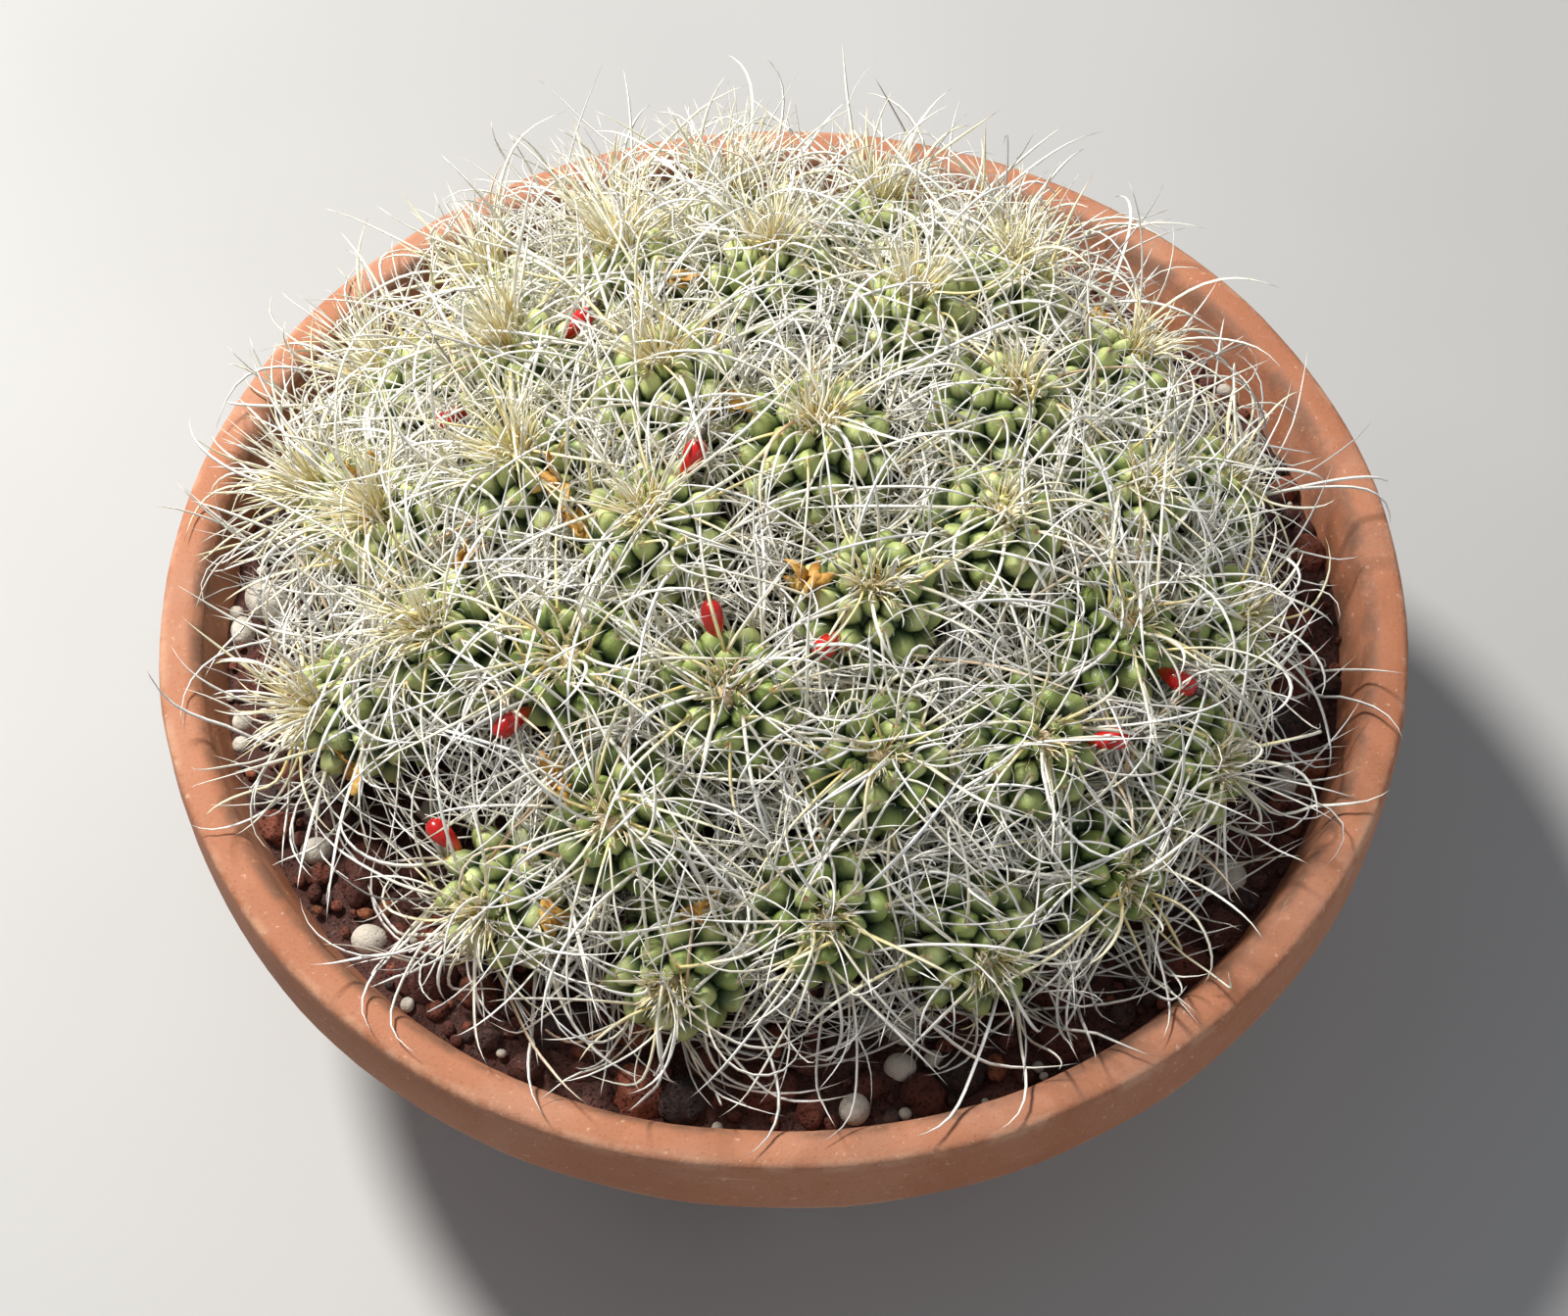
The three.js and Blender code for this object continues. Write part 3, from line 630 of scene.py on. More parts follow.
def meridian(k):
    """The head's surface between its tubercles: radius, depth, distance from the top and outward slope."""
    angles = np.radians(np.linspace(0, 90, 60))
    flat = WIDEST[k] - BUMP_HEIGHT
    cap = np.stack([flat * np.sin(angles), WIDEST_DEPTH - (WIDEST_DEPTH - APEX_DIP - 1.2) * np.cos(angles)], 1)
    depths = np.linspace(WIDEST_DEPTH, NECK_DEPTH + 1, 40)[1:]
    low = np.stack([outline(k, depths) - BUMP_HEIGHT, depths], 1)
    line = np.concatenate([cap, low])
    steps = np.linalg.norm(np.diff(line, axis=0), axis=1)
    along = np.concatenate([[0], np.cumsum(steps)])
    slope = unit(np.gradient(line, axis=0))
    normal = np.stack([slope[:, 1], -slope[:, 0]], 1)  # outward in radius, and down in depth
    return line, along, normal


def tubercles(k):
    """Foot, up, side and outward directions, width, height and age of each of head k's tubercles."""
    line, along, normal = meridian(k)
    area = YOUNG_AREA + (FULL_AREA - YOUNG_AREA) * smooth_step(along, 0, FULL_AREA_FROM)
    density = 2 * math.pi * line[:, 0] / area
    count = np.concatenate([[0], np.cumsum((density[1:] + density[:-1]) / 2 * np.diff(along))])
    index = np.arange(2, int(count[-1]))
    where = np.interp(index, count, along)
    radius = np.interp(where, along, line[:, 0])
    depth = np.interp(where, along, line[:, 1])
    out_r = np.interp(where, along, normal[:, 0])
    out_d = np.interp(where, along, normal[:, 1])
    random = np.random.default_rng(SEED + 31 * k)
    turn = index * GOLDEN_ANGLE + 1.7 * k + random.normal(0, 0.02, len(index))
    ring = np.stack([np.cos(turn), np.sin(turn), 0 * turn], 1)
    foot = ring * radius[:, None] - np.outer(depth, [0, 0, 1])
    outward = unit(ring * out_r[:, None] - np.outer(out_d, [0, 0, 1]))
    side = np.stack([-np.sin(turn), np.cos(turn), 0 * turn], 1)
    up = np.cross(side, outward)
    up = np.where((up[:, 2] < 0)[:, None], -up, up)
    size = np.sqrt(np.interp(where, along, area))
    # A disk of the same area has this radius
    width = 0.565 * size * random.uniform(0.95, 1.05, len(index))
    height = BUMP_HEIGHT * np.clip(size / math.sqrt(FULL_AREA), 0.45, 1) ** 0.8
    height *= random.uniform(0.92, 1.06, len(index))
    return {
        "foot": foot, "outward": outward, "side": side, "up": up, "width": width, "height": height,
        "age": np.clip(where / along[-1], 0, 1), "depth": depth, "chance": random.uniform(0, 1, len(index)),
    }


# One tubercle: rings of [width share, height share], closed at its foot, with a woolly areole at its tip
FINE_RINGS = [[1.0, -0.15], [0.98, 0.18], [0.85, 0.52], [0.62, 0.79], [0.35, 0.95], [0.20, 0.995]]
COARSE_RINGS = [[1.0, -0.15], [0.93, 0.36], [0.68, 0.76], [0.28, 0.98]]
UPTURN = 0.30
SQUARENESS = 1.4
TUBERCLE_OVERLAP = 1.13
KEEL = 1.10


def tubercle_form(rings, sides):
    """A tubercle of unit size: its points with their rise and wool, and its faces with their map."""
    turn = round_turn(sides)
    # Four soft edges, like a blunt diamond, with the keel below reaching further down
    diamond = (np.abs(np.cos(turn)) ** SQUARENESS + np.abs(np.sin(turn)) ** SQUARENESS) ** (-1 / SQUARENESS)
    points, rise = [], []
    for width, height in rings:
        reach = TUBERCLE_OVERLAP * width * diamond
        x = np.cos(turn) * reach
        x = np.where(x < 0, x * KEEL, x)
        points.append(np.stack([x, np.sin(turn) * reach, np.full(sides, height)], 1))
        rise += [max(height, 0)] * sides
    points = np.concatenate(points + [[[0, 0, rings[-1][1] + 0.07]]])
    last = (len(rings) - 1) * sides
    quads, _, j = tube(len(rings), sides)
    u = np.stack([j, j + 1, j + 1, j], -1).reshape(-1, 4) / sides
    j = np.arange(sides)
    bottom = np.stack([np.zeros(sides - 2, int), j[2:], j[1:-1]], 1)
    tris = np.concatenate([fan(last, sides, last + sides), bottom])
    tri_u = np.concatenate([np.stack([j, j + 1, j + 0.5], 1) / sides, np.zeros((sides - 2, 3))])
    wool = np.zeros(len(points))
    wool[-1] = 1
    wool[last:-1] = 0.55
    return points, np.array(rise + [1.0]), wool, quads, u, tris, tri_u


FORMS = {"fine": tubercle_form(FINE_RINGS, 12), "coarse": tubercle_form(COARSE_RINGS, 8)}
COARSE_DEPTH = 23


def place_tubercles(k, t, form, chosen):
    """All chosen tubercles of head k as one chunk, in world space."""
    points, rise, wool, quads, u, tris, tri_u = FORMS[form]
    t = {key: values[chosen] for key, values in t.items()}
    n, m = len(t["width"]), len(points)
    w, h = t["width"][:, None], t["height"][:, None]
    lean = UPTURN * np.clip(points[:, 2], 0, None) ** 1.5
    along = {"up": points[:, 0] * w + lean * h, "side": points[:, 1] * w, "outward": points[:, 2] * h}
    local = t["foot"][:, None] + sum(reach[..., None] * t[way][:, None] for way, reach in along.items())
    local += 0.22 * lumps(local, 7, SEED + k, 2)[..., None] * t["outward"][:, None]
    tint = np.zeros((n, m, 4))
    tint[..., 0] = rise
    # Green: half the tubercle's chance, half the head's painted light and shade
    tint[..., 1] = (0.5 * t["chance"] + 0.5 * SKIN_LIGHT_AND_SHADE[k])[:, None]
    tint[..., 2] = 0.7 * t["age"][:, None]
    tint[..., 3] = wool
    shift = (np.arange(n) * m)[:, None, None]
    quad_uv, tri_uv = (np.tile(np.stack([a, 0 * a], -1), (n, 1, 1, 1)) for a in (u, tri_u))
    return chunk(to_world(k, local.reshape(-1, 3)), quads + shift, tris + shift, quad_uv, tri_uv, tint)


def revolved(line, sides, tint_rows, wobble, k):
    """A solid of [radius, depth] rings round head k's axis, closed by a point at each end."""
    around = circle(round_turn(sides))
    rings = line[:, None, :1] * around - line[:, None, 1:] * [0, 0, 1]
    rings += (wobble[:, None] * lumps(rings + 100 * k, 9, SEED + k))[..., None] * around
    m = len(line)
    points = np.concatenate([rings.reshape(-1, 3), [[0, 0, -line[0, 1] - 0.3], [0, 0, -line[-1, 1]]]])
    tris = np.concatenate([fan(0, sides, m * sides), fan((m - 1) * sides, sides, m * sides + 1, flip=True)])
    tint = np.repeat(np.asarray(tint_rows, float), sides, 0)
    tint = np.concatenate([tint, tint[:1], tint[-1:]])
    return chunk(to_world(k, points), inside_out(tube(m, sides)[0]), tris, tint=tint)


def head_core(k):
    """The flesh under the tubercles, the corky neck and the stem down into the gravel."""
    line, along, _ = meridian(k)
    picks = np.interp(np.linspace(1.2, along[-1], 13), along, np.arange(len(along)))
    flesh = np.stack([np.interp(picks, np.arange(len(line)), line[:, c]) for c in (0, 1)], 1)
    root_depth = (TIP[k][2] - SOIL_TOP + 5) / AXIS[k][2]
    stem = []
    for depth in np.arange(NECK_DEPTH + 7, root_depth, 8.0):
        stem.append([STEM_RADIUS + (flesh[-1, 0] - STEM_RADIUS) * math.exp(-(depth - NECK_DEPTH) / 22), depth])
    if root_depth > flesh[-1, 1] + 2:
        stem.append([10.5, root_depth])
    line = np.concatenate([flesh, np.array(stem).reshape(-1, 2)])
    age = np.concatenate([np.linspace(0, 0.7, len(flesh)), np.ones(len(stem))])
    # Rise 0 gives the flesh between the tubercles the skin's near-black foot colour, painted shade in the
    # grooves
    rows = np.stack([np.zeros(len(line)), np.full(len(line), 0.4), age, np.zeros(len(line))], 1)
    wobble = np.where(age < 0.8, 0.35, 1.1)
    return revolved(line, 18, rows, wobble, k)


def apex_wool(k):
    """The low woolly cushion from which the young spines grow."""
    angles = np.radians([16, 34, 52, 70, 86])
    line = np.stack([BRUSH_RADIUS * np.sin(angles), 5.4 - 4.4 * np.cos(angles)], 1)
    rows = np.tile([1, 0.5, 0, 1], (len(line), 1))
    return revolved(line, 14, rows, np.full(len(line), 0.5), k)


def make_head(k, material):
    t = tubercles(k)
    fine = t["depth"] < COARSE_DEPTH
    parts = [head_core(k), apex_wool(k)]
    parts += [place_tubercles(k, t, "fine", fine), place_tubercles(k, t, "coarse", ~fine)]
    name = f"{k + 1:02d}"
    make_piece("cactus_" + name, join(parts), material, ["head_" + name], ["Round"], "growth")
    return t


# Spines: every path grows in small steps, bends steadily, and stays off the heads, the gravel and the pot
NEIGHBOUR_REACH = 112
NEAR = [np.flatnonzero(np.linalg.norm(TIP - tip, axis=1) < NEIGHBOUR_REACH) for tip in TIP]
FINE_STEPS = 22
SMOOTHINGS = 8
CLEAR_AFTER = 6


def off_heads(p, clear, near):
    """The points p moved out of the heads near them, and this far clear of their skins."""
    axis = AXIS[near][None]
    clear = clear[:, None]
    rel = p[:, None] - TIP[near][None]
    depth = -dot(rel, axis)
    radial = rel + depth[..., None] * axis
    rho = np.linalg.norm(radial, axis=-1)
    rise = (WIDEST_DEPTH - depth) / (WIDEST_DEPTH + clear)
    inside = np.sqrt((rho / (WIDEST[near][None] + clear)) ** 2 + rise ** 2)
    out_cap = (rel + WIDEST_DEPTH * axis) * (1 / np.maximum(inside, 0.2) - 1)[..., None]
    limit = np.where(depth > NECK_DEPTH + 4, STEM_RADIUS + 2.0, flank(near, depth) + clear)
    out_low = radial * ((limit - rho) / np.maximum(rho, 1e-6))[..., None]
    in_cap = (depth < WIDEST_DEPTH) & (inside < 1)
    in_low = (depth >= WIDEST_DEPTH) & (rho < limit)
    return p + (np.where(in_cap[..., None], out_cap, 0) + np.where(in_low[..., None], out_low, 0)).sum(1)


def ground(reach):
    """The lowest that a spine may be: over the gravel, and further out over the rim."""
    over_gravel, over_rim = SOIL_TOP + 5, POT_HEIGHT + 2
    return over_gravel + (over_rim - over_gravel) * smooth_step(reach, 166, 184)


def grow(near, start, heading, hinge, length, bend, wave, clear):
    """Paths that set out along the heading and bend round the hinge, more and more towards their tips."""
    paths = np.empty((len(start), FINE_STEPS + 1, 3))
    paths[:, 0] = start
    heading = unit(heading)
    hinge = at_right_angles(hinge, heading)
    for k in range(FINE_STEPS):
        p = paths[:, k] + heading * (length / FINE_STEPS)[:, None]
        p = off_heads(p, clear * min(1, (k + 1) / CLEAR_AFTER), near)
        reach = np.linalg.norm(p[:, :2], axis=1)
        p[:, 2] = np.maximum(p[:, 2], ground(reach))
        paths[:, k + 1] = p
        heading = unit(0.5 * unit(p - paths[:, k]) + 0.5 * heading)
        share = k / FINE_STEPS
        angle = bend / FINE_STEPS * (0.45 + 1.1 * share) + wave[:, 0] * np.sin(wave[:, 1] + 11 * share)
        c, s = np.cos(angle)[:, None], np.sin(angle)[:, None]
        heading = heading * c + np.cross(hinge, heading) * s + hinge * dot(hinge, heading)[:, None] * (1 - c)
        # Near the furthest reach a spine bends along the rim or up, not further out
        away = p[:, :2] / np.maximum(reach, 1)[:, None]
        outward = np.clip(dot(heading[:, :2], away), 0, None) * smooth_step(reach, 180, FURTHEST_SPINE)
        heading[:, :2] -= away * (0.5 * outward)[:, None]
        heading = unit(heading)
    for _ in range(SMOOTHINGS):
        paths[:, 1:-1] = 0.5 * paths[:, 1:-1] + 0.25 * (paths[:, :-2] + paths[:, 2:])
    paths[..., 2] = np.maximum(paths[..., 2], ground(np.linalg.norm(paths[..., :2], axis=-1)))
    return paths


def grow_within(k, points, start, heading, hinge, length, bend, wave, clear):
    """Paths of this many points that stay in the part's box: a spine that would leave it is shorter."""
    length = length.copy()
    paths = grow(NEAR[k], start, heading, hinge, length, bend, wave, clear)
    for _ in range(SHORTENINGS):
        reach = np.linalg.norm(paths[..., :2], axis=-1).max(1)
        out = (reach > FURTHEST_SPINE) | (paths[..., 2].max(1) > HIGHEST_SPINE)
        if not out.any():
            break
        length[out] *= 0.8
        paths[out] = grow(
            NEAR[k], start[out], heading[out], hinge[out], length[out], bend[out], wave[out], clear[out])
    at = np.linspace(0, FINE_STEPS, points)
    low = np.minimum(at.astype(int), FINE_STEPS - 1)
    part = (at - low)[None, :, None]
    return paths[:, low] * (1 - part) + paths[:, low + 1] * part


def strands(paths, root, tip_share, tone, seed):
    """Tapered three-sided strands along the paths, as one chunk with the map for their material."""
    sides = 3
    n, m, _ = paths.shape
    random = np.random.default_rng(seed)
    tangent = unit(np.gradient(paths, axis=1))
    u = np.empty_like(paths)
    u[:, 0] = unit(np.cross(tangent[:, 0], random.normal(size=(n, 3))))
    for k in range(1, m):
        u[:, k] = at_right_angles(u[:, k - 1], tangent[:, k])
    v = np.cross(tangent, u)
    t = np.linspace(0, 1, m)
    taper = (1 - 0.22 * t) * (1 - smooth_step(t, 0.62, 1.0) * (1 - tip_share))
    radius = root[:, None] * taper
    turn = round_turn(sides)[:, None]
    ring = paths[:, :-1, None] + radius[:, :-1, None, None] * (
        u[:, :-1, None] * np.cos(turn) + v[:, :-1, None] * np.sin(turn))
    points = np.concatenate([ring.reshape(n, -1, 3), paths[:, -1:]], 1)
    quads, i, j = tube(m - 1, sides)
    qu = np.stack([j, j + 1, j + 1, j], -1).reshape(-1, 4) / sides
    qv = np.stack([i, i, i + 1, i + 1], -1).reshape(-1, 4) / (m - 1)
    j = np.arange(sides)
    tris = np.concatenate([fan((m - 2) * sides, sides, (m - 1) * sides), [[0, 2, 1]]])
    tu = np.concatenate([np.stack([j, j + 1, j + 0.5], 1) / sides, np.full((1, 3), 0.5)])
    tv = np.concatenate([np.tile([(m - 2) / (m - 1), (m - 2) / (m - 1), 1], (sides, 1)), np.zeros((1, 3))])

    def banded(across, along):
        share = (tone[:, None, None] + 0.1 + 0.8 * across[None]) / TONES
        return np.stack([share, 0.01 + 0.98 * np.broadcast_to(along, share.shape)], -1)

    shift = (np.arange(n) * points.shape[1])[:, None, None]
    return chunk(points.reshape(-1, 3), quads + shift, tris + shift, banded(qu, qv), banded(tu, tv))


def sow(k, t, share, random, deepest=math.inf):
    """About this many spines on each of head k's tubercles down to a depth, in world space.

    Gives their number, their ages, where they leave the areoles, and which way is out, up and sideways there.
    """
    number = np.floor(share + random.uniform(0, 1, len(t["depth"]))).astype(int)
    number[t["depth"] > deepest] = 0
    t = {key: np.repeat(values, number, axis=0) for key, values in t.items()}
    h = t["height"][:, None]
    tip = t["foot"] + t["outward"] * h * 0.98 + t["up"] * UPTURN * h
    tip += 0.5 * random.normal(size=tip.shape)
    return len(tip), t["age"], to_world(k, tip), *(t[way] @ TURN[k].T for way in ("outward", "up", "side"))


def splay(random, n, least, most, outward, up, side):
    """Directions spread all round the outward one, by this much sideways."""
    turn = random.uniform(0, 2 * math.pi, n)[:, None]
    spread = random.uniform(least, most, n)[:, None]
    return outward + spread * (np.cos(turn) * up + np.sin(turn) * side)


def scatter(random, n, radius):
    """Unit points round the axis, and reaches that spread them evenly in a disk."""
    turn = random.uniform(0, 2 * math.pi, n)
    return circle(turn), radius * np.sqrt(random.uniform(0, 1, n))[:, None]


def sway(random, n, least, most):
    """Each path's swing at a step, drawn in degrees and made radians, and where in the swing it starts."""
    return np.stack([np.radians(random.uniform(least, most, n)), random.uniform(0, 6.28, n)], 1)


def either(random, n, share, tones, others):
    """A tone for each of n spines: from the first list for this share of them, or else from the second."""
    return np.where(random.uniform(size=n) < share, random.choice(tones, n), random.choice(others, n))


# Tones are bands of spine_material: 8, 9 and 14 are greys, 10 to 12 cream to straw, 13 is brown
IVORY = [0, 1, 2, 3, 4, 5, 6, 7, 15]
LONG_POINTS, THATCH_POINTS, SHORT_POINTS, BRUSH_POINTS, WOOL_POINTS = 12, 9, 6, 7, 5


def long_spines(k, t, random):
    """The long thick spines of the upper half, which lean away from the head's top, arch and hook down."""
    share = 1.15 + 0.95 * LUSH[k] + 0.8 * DULL_AND_SHADED[k]
    n, age, start, outward, up, side = sow(k, t, share, random, deepest=24)
    fall = random.normal(0.55 - 0.35 * LUSH[k], 0.55, n)[:, None]
    heading = 0.9 * outward - fall * up + random.normal(0, 0.55, n)[:, None] * side
    hinge = np.cross(heading, -up + [0, 0, -0.7] + 0.95 * random.normal(size=(n, 3)))
    length = np.clip(random.normal(36 + 22 * smooth_step(age, 0.04, 0.40), 9, n), 24, 76)
    bend = np.radians(np.clip(random.normal(112 - 34 * LUSH[k], 46, n), -25, 230))
    paths = grow_within(
        k, LONG_POINTS, start, heading, hinge, length, bend,
        sway(random, n, 0, 4), random.uniform(0.8, 8.0, n))
    tone = either(random, n, 0.84, IVORY, [8, 10, 6, 5, 13])
    young = (age < 0.22 + 0.16 * LUSH[k]) & (random.uniform(size=n) < 0.8)
    tone = np.where(young, random.choice([10, 11, 5, 4], n), tone)
    return strands(paths, random.uniform(0.46, 0.72, n), 0.22, tone, SEED + 7 * k)


def thatch(k, t, random):
    """The thinner spines of the flanks, which interlace in the gaps between the heads."""
    share = np.where(t["depth"] < 11, 0.35, np.where(t["depth"] < 30, 2.9 + 1.1 * LUSH[k], 1.5))
    n, _, start, outward, up, side = sow(k, t, share, random)
    heading = splay(random, n, 0.3, 1.6, outward, up, side) + [0, 0, 0.25]
    hinge = np.cross(heading, 0.5 * -up + random.normal(size=(n, 3)))
    length = np.clip(random.normal(38, 11, n), 18, 66)
    bend = np.radians(np.clip(random.normal(112, 58, n), -30, 250))
    paths = grow_within(
        k, THATCH_POINTS, start, heading, hinge, length, bend,
        sway(random, n, 0, 5), random.uniform(0.5, 6.0, n))
    tone = either(random, n, 0.70, IVORY, [8, 9, 8, 6, 14])
    return strands(paths, random.uniform(0.30, 0.47, n), 0.25, tone, SEED + 8 * k)


def short_spines(k, t, random):
    """The short thin spines spread round each areole."""
    n, age, start, outward, up, side = sow(k, t, 0.9, random, deepest=28)
    heading = splay(random, n, 0.7, 2.2, outward, up, side) - 0.5 * up
    hinge = np.cross(heading, -outward + 0.8 * random.normal(size=(n, 3)))
    length = random.uniform(8, 22, n) * (0.6 + 0.4 * smooth_step(age, 0, 0.3))
    bend = np.radians(random.normal(35, 30, n))
    paths = grow_within(
        k, SHORT_POINTS, start, heading, hinge, length, bend,
        sway(random, n, 0, 4), random.uniform(0.4, 3.0, n))
    tone = either(random, n, 0.66, IVORY, [8, 9, 13, 14, 12])
    return strands(paths, random.uniform(0.26, 0.40, n), 0.3, tone, SEED + 11 * k)


def brush(k, random):
    """The straw-coloured young spines that stand up at the top of a head."""
    n = int(16 if DULL_AND_SHADED[k] else 42 + 50 * LUSH[k])
    ring, reach = scatter(random, n, BRUSH_RADIUS)
    start = to_world(k, ring * reach - (1.6 + 0.12 * reach ** 2) * [0, 0, 1])
    lean = 0.12 * reach + random.uniform(0, 0.35, (n, 1))
    heading = ring * lean + [0, 0, 1] + 0.15 * random.normal(size=(n, 3))
    hinge = np.cross(heading, ring + 0.6 * random.normal(size=(n, 3)))
    length = random.uniform(5, 11 + 28 * LUSH[k], n)
    bend = np.radians(random.normal(34, 26, n))
    paths = grow_within(
        k, BRUSH_POINTS, start, heading @ TURN[k].T, hinge @ TURN[k].T, length, bend,
        sway(random, n, 0, 4), np.full(n, 0.2))
    tones = [12, 13, 12, 11] if DULL_AND_SHADED[k] else [10, 11, 11, 12, 4, 10]
    return strands(paths, random.uniform(0.28, 0.50, n), 0.3, random.choice(tones, n), SEED + 13 * k)


def top_wool(k, random):
    """The tan wool at the brush's foot."""
    n = 44
    ring, reach = scatter(random, n, 6.0)
    start = to_world(k, ring * reach - (1.7 + 0.1 * reach ** 2) * [0, 0, 1])
    heading = (ring * 0.7 + [0, 0, 0.7] + 0.6 * random.normal(size=(n, 3))) @ TURN[k].T
    hinge = np.cross(heading, random.normal(size=(n, 3)))
    swing = sway(random, n, 4, 16)
    length, bend = random.uniform(3, 7, n), np.radians(random.normal(90, 60, n))
    paths = grow_within(k, WOOL_POINTS, start, heading, hinge, length, bend, swing, np.zeros(n))
    return strands(paths, np.full(n, 0.2), 0.5, random.choice([11, 12, 10, 4], n), SEED + 17 * k)


def axil_wool(k, t, random):
    """White woolly curls low between the tubercles."""
    chosen = (t["age"] > 0.08) & (t["age"] < 0.8)
    t = {key: values[chosen] for key, values in t.items()}
    n = len(t["age"])
    foot = t["foot"] + t["up"] * (t["width"] * 0.95)[:, None]
    foot += t["side"] * random.normal(0, 1.2, n)[:, None] + t["outward"] * 1.2
    heading = t["outward"] @ TURN[k].T + 0.8 * random.normal(size=(n, 3))
    hinge = np.cross(heading, random.normal(size=(n, 3)))
    length, bend = random.uniform(3, 6, n), np.radians(random.normal(100, 50, n))
    steps = WOOL_POINTS - 1
    paths = np.empty((n, WOOL_POINTS, 3))
    paths[:, 0] = to_world(k, foot)
    heading = unit(heading)
    hinge = at_right_angles(hinge, heading)
    for step in range(steps):
        paths[:, step + 1] = paths[:, step] + heading * (length / steps)[:, None]
        heading = unit(heading + np.cross(hinge, heading) * (bend / steps)[:, None])
    return strands(paths, np.full(n, 0.24), 0.5, random.choice([2, 0, 15], n), SEED + 19 * k)


def make_spines(k, t, material):
    random = np.random.default_rng(SEED + 101 * k)
    parts = [
        long_spines(k, t, random), thatch(k, t, random), short_spines(k, t, random), brush(k, random),
        top_wool(k, random), axil_wool(k, t, random),
    ]
    name = f"{k + 1:02d}"
    return make_piece(
        "spines_" + name, join(parts), material, ["head_" + name], ["Strand", "OFBake"])


# Berries, each where the CAD has it
def fruit_places():
    places = []
    step = 2 * math.pi / TUBERCLES_ROUND
    for number, degrees, row in FRUITS:
        k = number - 1
        if row < len(CAP_ANGLES):
            angle = math.radians(CAP_ANGLES[row])
            radius = (WIDEST[k] - TUBERCLE_HEIGHT) * math.sin(angle)
            depth = WIDEST_DEPTH - (WIDEST_DEPTH - APEX_DIP) * math.cos(angle)
        else:
            depth = LOWER_DEPTHS[row - len(CAP_ANGLES)]
            radius = float(outline(k, depth)) - TUBERCLE_HEIGHT
        first = step * ((row % 2) / 2 + row * SPIRAL_TWIST)
        nearest = math.floor((math.radians(degrees) - first) / step + 0.5)
        turn = first + step * nearest
        foot = np.array([radius * math.cos(turn), radius * math.sin(turn), -depth])
        direction = unit(foot - [0, 0, -WIDEST_DEPTH])
        foot = foot + direction * FRUIT_LIFT
        places.append((TIP[k] + TURN[k] @ foot, TURN[k] @ direction))
    return places


# Rings up a berry: [radius share, height share], and up its dry remains, with a third number for roughness
BERRY_RINGS = [
    [0.22, 0.01], [0.42, 0.10], [0.66, 0.26], [0.88, 0.44], [0.99, 0.60], [0.97, 0.76], [0.80, 0.89],
    [0.52, 0.965], [0.30, 0.985],
]
HUSK_RINGS = [[0.30, 0.99, 0.0], [0.36, 1.05, 0.16], [0.24, 1.14, 0.18], [0.30, 1.24, 0.3], [0.12, 1.30, 0.3]]


def make_fruit(number, foot, direction, material):
    """A smooth club, with the black shrivelled remains of its flower on the end."""
    random = np.random.default_rng(SEED + 5 * number)
    sides = 18
    turn = round_turn(sides)
    rows, tints = [], [[0, 0.5, 0, 0]]
    for share, height in BERRY_RINGS:
        reach = share * FRUIT_RADIUS * (1 + 0.03 * np.sin(2 * turn + number))
        rows.append(reach[:, None] * circle(turn) + [0, 0, height * FRUIT_LENGTH])
        tints += [[height, 0.5, 0, 0]] * sides
    for share, height, rough in HUSK_RINGS:
        reach = share * FRUIT_RADIUS * (1 + rough * random.normal(size=sides).clip(-1.5, 1.5))
        z = height * FRUIT_LENGTH + rough * 1.6 * random.normal(size=sides).clip(-1.5, 1.5)
        rows.append(reach[:, None] * circle(turn) + z[:, None] * [0, 0, 1])
        tints += [[1, 0.5, 0, 1]] * sides
    last = (len(rows) - 1) * sides
    points = np.concatenate([*rows, [[0, 0, 0], [0, 0, 1.27 * FRUIT_LENGTH]]])
    tints = tints[1:] + [tints[0], [1, 0.5, 0, 1]]
    tris = np.concatenate([fan(0, sides, last + sides, flip=True), fan(last, sides, last + sides + 1)])
    data = chunk(foot + points @ turn_to(direction).T, tube(len(rows), sides)[0], tris, tint=tints)
    make_piece(f"berry_{number}", data, material, [f"fruit_{number}"], (), "growth")


PETAL_THICKNESS = 0.32
# Dried flowers caught among the spines: [head, degrees round it, depth below its tip]
DRIED_FLOWERS = [
    [25, 106, 8], [38, -40, 6], [2, -29, 8], [9, -45, 7], [30, 0, 8], [24, -74, 9],
    [13, 105, 6], [23, 74, 9], [4, 180, 7], [3, -172, 9], [31, 75, 9], [36, 150, 7],
]


def swung(a, b, angle):
    """Two directions at right angles, swung towards one another's places."""
    return a * math.cos(angle) + b * math.sin(angle), b * math.cos(angle) - a * math.sin(angle)


def petal(foot, heading, side, length, width, curl, random):
    """One thin shrivelled petal, closed all round: each row has three points above and three below."""
    rows, sides = 7, 6
    points = []
    heading, side = unit(heading), unit(side)
    up = np.cross(heading, side)
    p = np.array(foot, float)
    for t in np.linspace(0, 1, rows):
        half = width / 2 * math.sin(math.pi * (0.16 + 0.80 * t)) ** 0.8
        lift = 0.25 * half * random.normal()
        across = [(-1, 0.45 * half), (0, 0), (1, 0.45 * half + lift)]
        for thick, line in ((PETAL_THICKNESS / 2, across), (-PETAL_THICKNESS / 2, across[::-1])):
            points += [p + side * s * half + up * (off + thick) for s, off in line]
        p = p + heading * length / (rows - 1)
        angle = curl / rows + 0.22 * random.normal()
        heading, up = swung(heading, up, angle)
        side, up = swung(side, up, 0.28 * random.normal())
    last = (rows - 1) * sides
    first_end = np.array([[0, 5, 4, 1], [1, 4, 3, 2]])
    last_end = np.array([[0, 1, 4, 5], [1, 2, 3, 4]]) + last
    return chunk(points, np.concatenate([tube(rows, sides)[0], first_end, last_end]), [])


